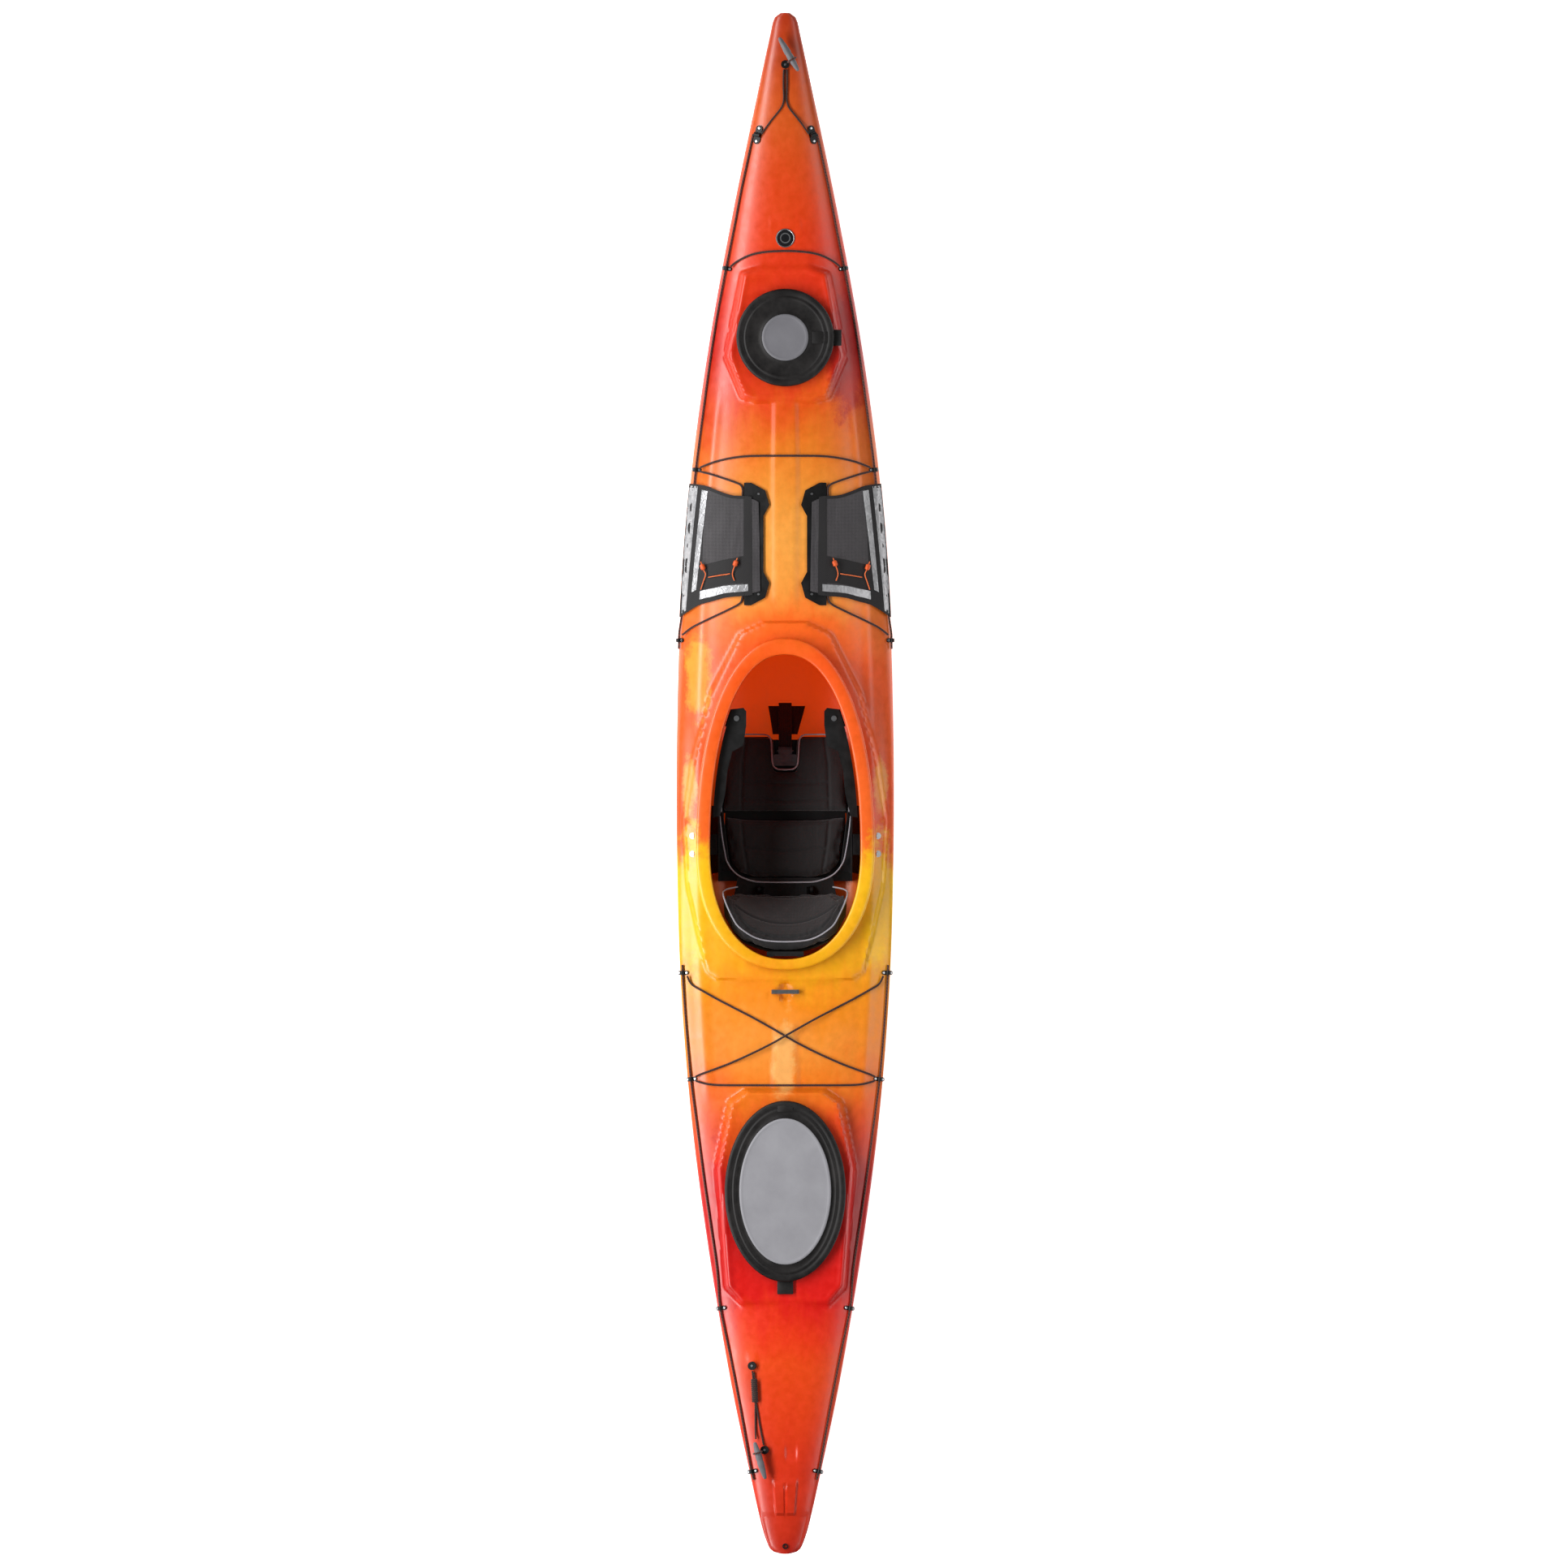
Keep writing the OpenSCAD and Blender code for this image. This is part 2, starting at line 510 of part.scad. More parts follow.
bar_x = cockpit_x - cockpit_rear;
module backrest_bar() {
    color("black") translate([bar_x, 0, coaming_z(bar_x) - 22]) {
        difference() {
            translate([9, -53 * kc, 0]) cube([13, 106 * kc, 14]);
            translate([15.5, -70, 7]) rotate([-90, 0, 0]) cylinder(r = 3, h = 140);
        }
        for (s = [-1, 1]) translate([8, s * 40 * kc - 7, -4]) cube([3, 14, 22]);
    }
}

// ---- hangers and seat bolts ---------------------------------------------------------------

hanger_t = 4;
bolt_lift = 9;                  // the raised moulding under the washers
module seat_hangers() {
    color("dimgray") both_sides() {
        on_deck(seat_bolt_x, seat_bolt_y) translate([0, 0, -wall - 1 - hanger_t]) difference() {
            translate([-44, -18, 0]) cube([88, 30, hanger_t]);
            for (dx = [-26, 26]) translate([dx, 0, -1]) cylinder(r = 3.2, h = hanger_t + 2);
        }
        top_y = seat_bolt_y - 14;
        top_z = deck_z(seat_bolt_x, top_y) - wall - 8;
        low_y = seat_half + 6 + 2.5 + gap;
        translate([seat_bolt_x - 30, 0, 0]) rotate([90, 0, 90]) linear_extrude(60) polygon([
            [top_y, top_z], [top_y + hanger_t, top_z], [low_y + hanger_t + 4, pan_z + 70],
            [low_y + hanger_t, pan_z + 40], [low_y + hanger_t, pan_z], [low_y, pan_z], [low_y, pan_z + 40],
            [low_y + 4, pan_z + 70]]);
    }
}
module seat_bolts() {
    color("silver") for (dx = [-26, 26], s = [-1, 1])
        on_deck(seat_bolt_x + dx, s * seat_bolt_y) {
            translate([0, 0, bolt_lift]) cylinder(r = 9.5, h = 1.5);
            translate([0, 0, bolt_lift + 1.5]) cylinder(r = 5.5, h = 3);
            translate([0, 0, -wall - hanger_t - 6]) cylinder(r = 3, h = wall + hanger_t + bolt_lift + 7);
        }
}

// ---- thigh braces -------------------------------------------------------------------------

brace_drop = 32;
brace_t = 5;
brace_x = 190;
brace_y = 140 * kc;
brace_pad = 14;
// Frame of the coaming's plane, lowered into the opening
module in_coaming_plane(drop) {
    translate([brace_x, 0, coaming_z(brace_x) - drop]) rotate([0, -coaming_tilt, 0]) children();
}
function brace_edge(dx, inset) = let (x = brace_x + dx, u = min(abs(x - cockpit_x) / cockpit_front, 1))
    cockpit_half * pow(1 - pow(u, 2.2), 1 / 2.2) - inset;
module brace_plan(inset) {
    polygon(concat([for (dx = [26 : -24 : -286]) [dx, brace_edge(dx, 6 + inset)]],
        [[-282, brace_edge(-282, 26)], [-215, 172 * kc], [-150, 166 * kc], [-96, 152 * kc],
         [-78, 120 * kc], [-20, 112 * kc], [20, 112 * kc], [30, 120 * kc]]));
}
module thigh_brace_port() {
    color("black") in_coaming_plane(brace_drop) difference() {
        linear_extrude(brace_t) brace_plan(0);
        translate([0, brace_y, -1]) cylinder(r = 4.06, h = brace_t + 2);
    }
}
module thigh_brace_starboard() { mirror([0, 1, 0]) thigh_brace_port(); }
module thigh_pad_port() {
    color("dimgray") in_coaming_plane(brace_drop + brace_pad) linear_extrude(brace_pad - gap) intersection() {
        offset(delta = -5) brace_plan(0);
        translate([-300, 0]) square([266, 400]);
    }
}
module thigh_pad_starboard() { mirror([0, 1, 0]) thigh_pad_port(); }
module brace_brackets() {
    color("dimgray") both_sides() in_coaming_plane(brace_drop) translate([0, 0, -6]) difference() {
        linear_extrude(5.6) polygon([[-18, brace_y - 14], [18, brace_y - 14], [26, brace_edge(26, 2)],
            [0, brace_edge(0, 2)], [-24, brace_edge(-24, 2)]]);
        translate([0, brace_y, -1]) cylinder(r = 4.06, h = 12);
    }
}
module brace_pivots() {
    color("silver") both_sides() in_coaming_plane(brace_drop) translate([0, brace_y, 0]) {
        translate([0, 0, -8]) cylinder(r = 4, h = 8 + brace_t + 0.4);
        translate([0, 0, brace_t + 0.4]) cylinder(r = 8, h = 3);
        translate([0, 0, -12]) cylinder(r = 7, h = 5.2);
    }
}

// ---- foot braces --------------------------------------------------------------------------

rail_x = 520;
rail_z = 140;
rail_h = 26;
rail_t = 8;
pedal_x = 700;
rail_y = inside_half(rail_x + rail_len, rail_z + rail_h) - 26;
module foot_rail_port() {
    color("dimgray") {
        translate([rail_x, rail_y, rail_z]) cube([rail_len, rail_t, rail_h]);
        translate([rail_x, rail_y - 6, rail_z]) cube([rail_len, 7, 5]);
        translate([rail_x, rail_y - 6, rail_z + rail_h - 5]) cube([rail_len, 7, 5]);
        for (x = [rail_x + 20, rail_x + rail_len - 20]) {
            reach = inside_half(x, rail_z + 7) - 2 - rail_y;
            translate([x, rail_y + rail_t - 1, rail_z + rail_h / 2]) rotate([-90, 0, 0])
                cylinder(r = 6, h = reach - rail_t);
            translate([x, rail_y - 3, rail_z + rail_h / 2]) rotate([-90, 0, 0]) cylinder(r = 7, h = 4);
        }
    }
}
module foot_rail_starboard() { mirror([0, 1, 0]) foot_rail_port(); }
slider_h = rail_h - 10 - 2 * gap;
module foot_pedal_port() {
    color("black") {
        translate([pedal_x - 30, rail_y - 5.6, rail_z + 5 + gap]) cube([60, 5, slider_h]);
        translate([pedal_x - 26, rail_y - 22, rail_z + 5 + gap]) cube([52, 17, slider_h]);
        translate([pedal_x - 4, rail_y - 108, rail_z - 34]) rotate([0, -8, 0]) cube([8, 92, 128]);
        for (z = [rail_z - 14, rail_z + 20, rail_z + 54])
            translate([pedal_x - 10 - (z - rail_z) * 0.14, rail_y - 104, z]) cube([8, 84, 6]);
    }
}
module foot_pedal_starboard() { mirror([0, 1, 0]) foot_pedal_port(); }

// ---- deck fittings ------------------------------------------------------------------------

// Pad eyes that the perimeter line runs through: place and heading of the eye
FITTINGS = [[1482, 166, -12], [905, 253, -6], [415, 301, -2], [-543, 293, 2], [-849, 269, 6],
    [-1507, 183, 9], [-1974, 93, 13]];
// Long pad eyes, which stand across the cords that end in them
LONG_FITTINGS = [[1863, 77, 76]];
// Round fittings with one screw, on the centre line or on the port deck only
ROUND_FITTINGS = [[2063, 0], [-1912, 58], [-1671, 94]];
eye_h = line_d / 2 + 3;
module pad_eye(length, width, pitch) {
    difference() {
        union() {
            translate([0, 0, 0.6]) rotate([0, 0, 90]) rounded_bar(length, width, 4);
            translate([-width / 2 + 1, -6.5, 1]) cube([width - 2, 13, fitting_h - 7.5]);
            translate([-width / 2 + 1, 0, fitting_h - 6.5]) rotate([0, 90, 0]) cylinder(r = 6.5, h = width - 2);
        }
        translate([-20, 0, eye_h]) rotate([0, 90, 0]) cylinder(r = line_d / 2 + 0.8, h = 40);
        for (s = [-1, 1]) translate([0, s * pitch / 2, -1]) cylinder(r = 2.3, h = 12);
    }
}
module screw_head(z) { translate([0, 0, z]) cylinder(r1 = 4, r2 = 3, h = 1.8); }
module single_fitting() {
    difference() {
        translate([0, 0, 0.6]) cylinder(r = 12, h = fitting_h - 3);
        translate([-20, 0, lanyard_d / 2 + 4]) rotate([0, 90, 0]) cylinder(r = lanyard_d / 2 + 0.8, h = 40);
    }
}
bow_fit_x = ROUND_FITTINGS[0][0] * kx;
stern_fit = [ROUND_FITTINGS[1][0] * kx, ROUND_FITTINGS[1][1] * ky];
// Each place on the port deck, mirrored to starboard
module at_fittings(places) {
    for (f = places) {
        on_deck(f[0] * kx, f[1] * ky, f[2]) children();
        on_deck(f[0] * kx, -f[1] * ky, -f[2]) children();
    }
}
module at_round_fittings() {
    for (f = ROUND_FITTINGS) on_deck(f[0] * kx, f[1] * ky) children();
}
eye_len = 34;
eye_w = 12;
eye_pitch = 24;
long_eye_len = 54;
long_eye_w = 20;
long_eye_pitch = 38;
module deck_fittings() {
    color("black") {
        at_fittings(FITTINGS) pad_eye(eye_len, eye_w, eye_pitch);
        at_fittings(LONG_FITTINGS) pad_eye(long_eye_len, long_eye_w, long_eye_pitch);
        at_round_fittings() single_fitting();
    }
}
module eye_screws(pitch) {
    for (s = [-1, 1]) translate([0, s * pitch / 2, 0]) {
        translate([0, 0, 0.8]) cylinder(r = 2.1, h = 5);
        screw_head(4.8);
    }
}
module fitting_screws() {
    color("silver") {
        at_fittings(FITTINGS) eye_screws(eye_pitch);
        at_fittings(LONG_FITTINGS) eye_screws(long_eye_pitch);
        at_round_fittings() screw_head(fitting_h - 2.2);
    }
}

// ---- cords --------------------------------------------------------------------------------

// Each route is a list of places on the deck and the lift of the cord's underside there
BOW_LINE = [[1865, 88, 3], [1845, 94, 1], [1780, 108, 1], [1706, 124, 1], [1606, 143, 1],
    [1505, 162, 3], [1482, 166.5, 3], [1460, 171, 3], [1330, 196, 1], [1200, 216, 1],
    [1060, 235, 1], [930, 250.5, 3], [905, 253, 3], [880, 256, 3], [760, 269, 1], [640, 281, 1],
    [520, 291, 1], [440, 300, 3], [415, 301, 3], [390, 301.5, 3]];
STERN_LINE = [[-520, 294, 3], [-543, 293, 3], [-568, 292, 3], [-690, 284, 1], [-824, 272, 3],
    [-849, 269, 3], [-874, 266.5, 3], [-1000, 250, 1], [-1130, 233, 1], [-1260, 214, 1],
    [-1390, 195, 1], [-1482, 187, 3], [-1507, 183, 3], [-1532, 179, 3], [-1660, 153, 1],
    [-1800, 126, 1], [-1950, 98.5, 3], [-1974, 93, 3], [-1998, 87.5, 3]];
module bow_deck_lines() { color("black") both_sides() deck_cord(BOW_LINE, line_d); }
module stern_deck_lines() { color("black") both_sides() deck_cord(STERN_LINE, line_d); }

// Bungees that cross the deck, given for port and mirrored to starboard
BOW_CROSS = [[1486, 152, 8], [1500, 138, 2], [1514, 112, 1], [1523, 84, 1], [1528, 50, 1], [1530, 0, 1]];
MID_CROSS = [[911, 238, 8], [922, 214, 2], [931, 184, 1], [938, 148, 1], [942, 110, 1], [943, 70, 1],
    [943, 36, 1], [943, 0, 1]];
AFT_CROSS = [[-854, 254, 8], [-861, 232, 2], [-865, 205, 1], [-866, 170, 1], [-866, 120, 1], [-866, 70, 1],
    [-866, 0, 1]];
function across(half) = concat(half, [for (i = [len(half) - 2 : -1 : 0]) [half[i][0], -half[i][1], half[i][2]]]);
module bow_bungees() {
    color("black") {
        deck_cord(across(BOW_CROSS), bungee_d);
        deck_cord(across(MID_CROSS), bungee_d);
    }
}
POUCH_BUNGEE = [[899, 238, 8], [892, 214, 2], [882, 184, 1], [870, 150, 1], [860, 128, 1], [846, 121.5, 1],
    [820, 122, 1], [690, 122, 1], [560, 122, 1], [534, 123, 1], [518, 132, 1], [500, 166, 1],
    [484, 200, 1], [466, 238, 1], [450, 268, 2], [430, 289, 8]];
module pouch_bungees() { color("black") both_sides() deck_cord(POUCH_BUNGEE, bungee_d); }
// The two diagonals cross over the rear strip, one lying on the other
AFT_LOWER = [[-552, 279, 8], [-576, 268, 2], [-596, 235, 1], [-618, 196, 1], [-642, 150, 1], [-672, 92, 1],
    [-700, 42, 1], [-724, 0, 1], [-748, -42, 1], [-776, -98, 1], [-802, -156, 1], [-820, -202, 1],
    [-834, -240, 2], [-842, -255, 8]];
AFT_UPPER = [for (p = AFT_LOWER) [p[0], -p[1], p[2] + (abs(p[0] + 724) < 60 ? 7 : 0)
    + (abs(p[0] + 724) < 20 ? 1 : 0)]];
module stern_bungees() {
    color("black") {
        deck_cord(across(AFT_CROSS), bungee_d);
        deck_cord(AFT_LOWER, bungee_d);
        deck_cord(AFT_UPPER, bungee_d);
    }
}
V_CORD = [[1864, 66, 4], [1880, 56, 2], [1905, 38, 1], [1935, 14, 1], [1952, 6, 1], [1970, 4, 1],
    [2000, 5, 1], [2030, 5, 1], [2049, 4, 2]];
module bow_toggle_bungee() { color("black") both_sides() deck_cord(V_CORD, lanyard_d); }
LANYARD = [[-1686, 93.5, 4], [-1700, 92, 3], [-1730, 90, 1], [-1748, 88, 1], [-1790, 81, 1], [-1850, 71, 1],
    [-1884, 64, 2], [-1898, 61, 4]];
module stern_lanyard() {
    color("black") {
        deck_cord(LANYARD, lanyard_d);
        deck_cord([for (p = LANYARD) [p[0], p[1] + (p[0] < -1760 ? -9 : -6), p[2]]], lanyard_d);
        x = -1748 * kx;
        y = 85 * ky;
        translate([x, y, deck_z(x, y) + 13]) rotate([0, 90, 9]) translate([0, 0, -7]) cylinder(r = 6, h = 14);
    }
}

// ---- carrying toggles ---------------------------------------------------------------------

toggle_len = 111;
toggle_r = 10;
// Leaf shape: thick in the middle, with blunt ends and a groove for the loop
module toggle() {
    rotate([0, 90, 0]) rotate_extrude($fn = 32) polygon(concat([[0, -toggle_len / 2]],
        [for (i = [-8 : 8]) let (s = i / 8) [toggle_r * (0.35 + 0.65 * pow(cos(82 * s), 0.8))
            - (abs(i) < 1 ? 1.2 : 0), s * toggle_len / 2]], [[0, toggle_len / 2]]));
}
// Each toggle swings about its fitting: the loop leaves the fitting sideways and goes round the handle
swing_r = 22;
handle_lift = fitting_h + toggle_r + 2.5;
bow_yaw = 29.8;
stern_yaw = 16.3;
module at_fitting(x, y) { translate([x, y, deck_z(x, y)]) children(); }
module toggle_loop(yaw) {
    r = toggle_r + lanyard_d / 2 + 0.3;
    arc = [for (i = [0 : 10]) let (t = 212 - 26 * i) [swing_r + r * cos(t), handle_lift + r * sin(t)]];
    rotate([0, 0, yaw]) tube([for (p = concat([[16, 12]], arc, [[23, 9.5], [16.4, 5.6]])) [p[0], 0, p[1]]], lanyard_d);
}
module bow_toggle_handle() {
    color("dimgray") at_fitting(bow_fit_x, 0) rotate([0, 0, bow_yaw]) translate([18.5, -swing_r, handle_lift]) toggle();
}
module bow_toggle_loop() { color("black") at_fitting(bow_fit_x, 0) toggle_loop(bow_yaw - 90); }
module stern_toggle_handle() {
    color("dimgray") at_fitting(stern_fit[0], stern_fit[1])
        rotate([0, 0, stern_yaw]) translate([-23.4, swing_r, handle_lift]) toggle();
}
module stern_toggle_loop() { color("black") at_fitting(stern_fit[0], stern_fit[1]) toggle_loop(stern_yaw + 90); }

// ---- security bar -------------------------------------------------------------------------

bar_stand = -597 * kx;
module security_bar() {
    color("silver") on_deck(bar_stand, 0) {
        translate([-6, -39.5, 0.6]) difference() {
            cube([12, 79, 16]);
            translate([-1, 15, -1]) cube([14, 49, 11]);
            for (y = [7.5, 71.5]) translate([6, y, -1]) cylinder(r = 2.6, h = 20);
        }
    }
}
module security_bolts() {
    color("silver") on_deck(bar_stand, 0) for (y = [-32, 32]) translate([0, y, 0]) {
        translate([0, 0, 0.8]) cylinder(r = 2.5, h = 16);
        translate([0, 0, 16.6]) cylinder(r = 4.5, h = 2.4);
    }
}

// ---- deck pouches -------------------------------------------------------------------------

pouch_lift = 2;
pouch_t = 9;
// Port outline across the pouch at a share of its length, aft to fore
function pouch_x(s, t) = kx * mix(mix(560, 482, t), mix(850, 866, t), s);
function pouch_y(s, t) = let (x = pouch_x(s, t)) mix(127 * ky, half_breadth(x) - 16, t);
POUCH_N = 7;
module pouch_mesh_port() {
    n = POUCH_N + 1;
    top = [for (i = [0 : POUCH_N], j = [0 : POUCH_N]) let (s = i / POUCH_N, t = j / POUCH_N,
        x = pouch_x(s, t), y = pouch_y(s, t)) [x, y, deck_z(x, y) + pouch_t + pouch_lift + (j >= POUCH_N - 1 ? 2.5 : 0)]];
    // The outer two rows lie over the perimeter line
    low = [for (i = [0 : len(top) - 1]) top[i] - [0, 0, i % n >= n - 2 ? 3 : pouch_t]];
    m = n * n;
    edge = concat([for (j = [0 : POUCH_N - 1]) [j, j + 1]],
        [for (i = [0 : POUCH_N - 1]) [i * n + POUCH_N, (i + 1) * n + POUCH_N]],
        [for (j = [POUCH_N : -1 : 1]) [POUCH_N * n + j, POUCH_N * n + j - 1]],
        [for (i = [POUCH_N : -1 : 1]) [i * n, (i - 1) * n]]);
    color("dimgray") polyhedron(points = concat(top, low), faces = concat(
        [for (i = [0 : POUCH_N - 1], j = [0 : POUCH_N - 1]) let (a = i * n + j)
            each [[a, a + 1, a + n], [a + 1, a + n + 1, a + n]]],
        [for (i = [0 : POUCH_N - 1], j = [0 : POUCH_N - 1]) let (a = m + i * n + j)
            each [[a, a + n, a + 1], [a + 1, a + n, a + n + 1]]],
        [for (e = edge) each [[e[0], m + e[0], e[1]], [e[1], m + e[0], m + e[1]]]]), convexity = 6);
}
module pouch_mesh_starboard() { mirror([0, 1, 0]) pouch_mesh_port(); }
// Dog-bone plates clamp the inner edge of each pouch
plate_x = 690 * kx;
plate_y = 84 * ky;
PLATE = [[176, 14], [154, -27], [112, -39], [80, -22], [0, -22]];
module plate_plan() {
    half = concat([[176, 34]], PLATE);
    polygon(concat(half, [for (i = [len(half) - 2 : -1 : 0]) [-half[i][0], half[i][1]]]));
}
module pouch_plates() {
    color("black") both_sides() on_deck(plate_x, plate_y) translate([0, 0, 3]) difference() {
        linear_extrude(3) plate_plan();
        for (s = [-1, 1]) translate([s * 144, -8, -1]) cylinder(r = 2.4, h = 6);
    }
}
module pouch_screws() {
    color("silver") both_sides() on_deck(plate_x, plate_y) for (s = [-1, 1]) translate([s * 144, -8, 0]) {
        translate([0, 0, 2]) cylinder(r = 2.2, h = 4.2);
        screw_head(6.2);
    }
}
pouch_cord_d = 3;
cord_lift = pouch_t + pouch_lift + 3.4;
PULL_OUTER = [[560, 236, 0], [585, 228, 0], [603, 222, 2], [616, 226, 4], [640, 234, 4]];
PULL_INNER = [[585, 143, 0], [600, 148, 0], [612, 147, 2], [626, 142, 4], [650, 134, 4]];
PULL_ACROSS = [[595, 215, 0], [598, 198, 0], [601, 181, 0], [603, 166, 0], [605, 155, 0]];
function raised(route) = [for (p = route) lying([p[0], p[1], p[2] + cord_lift], pouch_cord_d)];
module pouch_cords() {
    color("orangered") both_sides() {
        tube(raised(PULL_OUTER), pouch_cord_d);
        tube(raised(PULL_INNER), pouch_cord_d);
        tube(raised(PULL_ACROSS), pouch_cord_d);
    }
}
// A barrel lock runs along the straight tail between the last two points of its cord
lock_len = 16;
module cord_lock(route) {
    p = raised(route);
    a = p[len(p) - 2];
    d = unit(p[len(p) - 1] - a);
    translate(a + d) rotate([0, acos(d[2]), atan2(d[1], d[0])]) rotate_extrude($fn = 32) polygon([
        [2, 0], [5, 0], [7, 3], [7, lock_len - 3], [5, lock_len], [2, lock_len]]);
}
module cord_lock_port_outer() { color("orangered") cord_lock(PULL_OUTER); }
module cord_lock_port_inner() { color("orangered") cord_lock(PULL_INNER); }
module cord_lock_starboard_outer() { mirror([0, 1, 0]) cord_lock_port_outer(); }
module cord_lock_starboard_inner() { mirror([0, 1, 0]) cord_lock_port_inner(); }

// ---- small parts --------------------------------------------------------------------------

module rudder_pin_sleeve() {
    color("black") translate([pin_x, 0, sleeve_top - sleeve_len]) difference() {
        cylinder(r = sleeve_r, h = sleeve_len);
        translate([0, 0, -1]) cylinder(r = pin_bore_d / 2, h = sleeve_len + 2);
    }
}
module deck_badge() { color("gray") on_deck(1567 * kx, 0) translate([0, 0, 0.8]) cylinder(r = 27, h = 2); }

hull_shell();
deck_shell();
bow_bulkhead();
stern_bulkhead();
bow_hatch_rim();
bow_hatch_lid();
bow_lid_panel();
stern_hatch_rim();
stern_hatch_lid();
stern_lid_panel();
seat_pan();
seat_hangers();
seat_bolts();
seat_cushion();
leg_lifter_plate();
leg_lifter_pad();
leg_lifter_strap();
buckle_base();
buckle_lever();
backrest_frame();
backrest_cushion();
backrest_bar();
brace_brackets();
brace_pivots();
thigh_brace_port();
thigh_brace_starboard();
thigh_pad_port();
thigh_pad_starboard();
foot_rail_port();
foot_rail_starboard();
foot_pedal_port();
foot_pedal_starboard();
deck_fittings();
fitting_screws();
bow_deck_lines();
stern_deck_lines();
bow_bungees();
pouch_bungees();
stern_bungees();
bow_toggle_handle();
bow_toggle_loop();
bow_toggle_bungee();
stern_toggle_handle();
stern_toggle_loop();
stern_lanyard();
security_bar();
security_bolts();
pouch_mesh_port();
pouch_mesh_starboard();
pouch_plates();
pouch_screws();
pouch_cords();
cord_lock_port_outer();
cord_lock_port_inner();
cord_lock_starboard_outer();
cord_lock_starboard_inner();
rudder_pin_sleeve();
deck_badge();
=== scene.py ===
import math

import bmesh
import bpy
from mathutils import Matrix, Vector


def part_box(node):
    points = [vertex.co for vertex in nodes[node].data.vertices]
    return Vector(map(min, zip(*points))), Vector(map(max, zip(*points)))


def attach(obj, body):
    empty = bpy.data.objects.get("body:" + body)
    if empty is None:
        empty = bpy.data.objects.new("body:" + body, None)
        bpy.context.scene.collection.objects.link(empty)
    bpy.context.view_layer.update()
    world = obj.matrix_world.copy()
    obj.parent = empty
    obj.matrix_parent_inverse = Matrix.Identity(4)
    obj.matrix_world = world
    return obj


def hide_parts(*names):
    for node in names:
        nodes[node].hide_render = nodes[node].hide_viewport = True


# ---- Studio ------------------------------------------------------------------------------------
# The boat lies on a white studio floor and is seen from straight above, bow up. A long softbox hangs
# over its port side, so that side carries the highlights and the starboard side falls off. The floor
# is a lit white sheet, so the boat's shadow is faint.

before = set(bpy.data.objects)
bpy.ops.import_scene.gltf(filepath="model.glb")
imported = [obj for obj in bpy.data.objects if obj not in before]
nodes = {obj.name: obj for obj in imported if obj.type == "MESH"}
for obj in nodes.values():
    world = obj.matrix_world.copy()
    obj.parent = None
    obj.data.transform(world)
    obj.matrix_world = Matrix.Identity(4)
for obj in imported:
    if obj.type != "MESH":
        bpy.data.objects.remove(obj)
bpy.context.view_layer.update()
scene = bpy.context.scene
scene.view_settings.view_transform = "Standard"

VIEW_WIDTH = 4.511
LENS = 200
camera = bpy.data.objects.new("overhead_camera", bpy.data.cameras.new("overhead_camera"))
camera.data.lens = LENS
camera.data.sensor_width = 36
camera.data.clip_end = 100
camera.location = (0.001, 0.0035, 0.3 + VIEW_WIDTH * LENS / 36)
camera.rotation_euler = (0, 0, -math.pi / 2)
scene.collection.objects.link(camera)
scene.camera = camera

for name, place, across, along, watts in [
        ("port_softbox", (0.0, 2.9, 3.0), 1.1, 7.0, 275),
        ("starboard_fill", (0.0, -3.2, 3.2), 1.6, 7.0, 80)]:
    lamp = bpy.data.objects.new(name, bpy.data.lights.new(name, "AREA"))
    lamp.data.shape = "RECTANGLE"
    lamp.data.size, lamp.data.size_y = across, along
    lamp.data.energy = watts
    lamp.location = place
    aim = (Vector((0, 0, 0.3)) - lamp.location).normalized()
    side = Vector((1, 0, 0))
    up = aim.cross(side)
    facing = Matrix((up, side, -aim)).transposed().to_4x4()
    lamp.matrix_world = Matrix.Translation(lamp.location) @ facing
    scene.collection.objects.link(lamp)

scene.world = bpy.data.worlds.new("white_studio")
scene.world.use_nodes = True
scene.world.node_tree.nodes["Background"].inputs["Color"].default_value = (1, 1, 1, 1)
scene.world.node_tree.nodes["Background"].inputs["Strength"].default_value = 0.10


def linear(hex_text):
    """An sRGB hex colour as the linear colour that a shader takes."""
    shares = [int(hex_text[i:i + 2], 16) / 255 for i in (1, 3, 5)]
    return tuple(s / 12.92 if s < 0.04045 else ((s + 0.055) / 1.055) ** 2.4 for s in shares) + (1,)


def new_finish(name):
    """An empty finish and its surface shader."""
    finish = bpy.data.materials.new(name)
    finish.use_nodes = True
    return finish, finish.node_tree.nodes["Principled BSDF"]


def feed(node, inputs):
    """A value given for an input is set, and a socket is linked to it."""
    for key, value in inputs.items():
        if isinstance(value, bpy.types.NodeSocket):
            node.id_data.links.new(value, node.inputs[key])
        else:
            node.inputs[key].default_value = value


def add(finish, kind, inputs=None, **settings):
    """Adds one node with its settings and its inputs."""
    made = finish.node_tree.nodes.new(kind)
    for name, value in settings.items():
        setattr(made, name, value)
    feed(made, inputs or {})
    return made


bpy.ops.object.select_all(action="DESELECT")
bpy.ops.mesh.primitive_plane_add(size=60, location=(0, 0, -0.001))
floor = bpy.context.object
floor.name = "studio_floor"
floor_paint, surface = new_finish("white_painted_floor")
feed(surface, {
    "Base Color": linear("#f7f7f5"), "Roughness": 0.9, "Emission Color": linear("#ffffff"),
    "Emission Strength": 0.85})
floor.data.materials.append(floor_paint)

# ---- Lines of the boat -------------------------------------------------------------------------
# The plan, sheer, keel and deck crown are the curves that the boat is lofted from. Lengths here are
# in millimetres from amidships, on the centre line, at the lowest point of the keel.

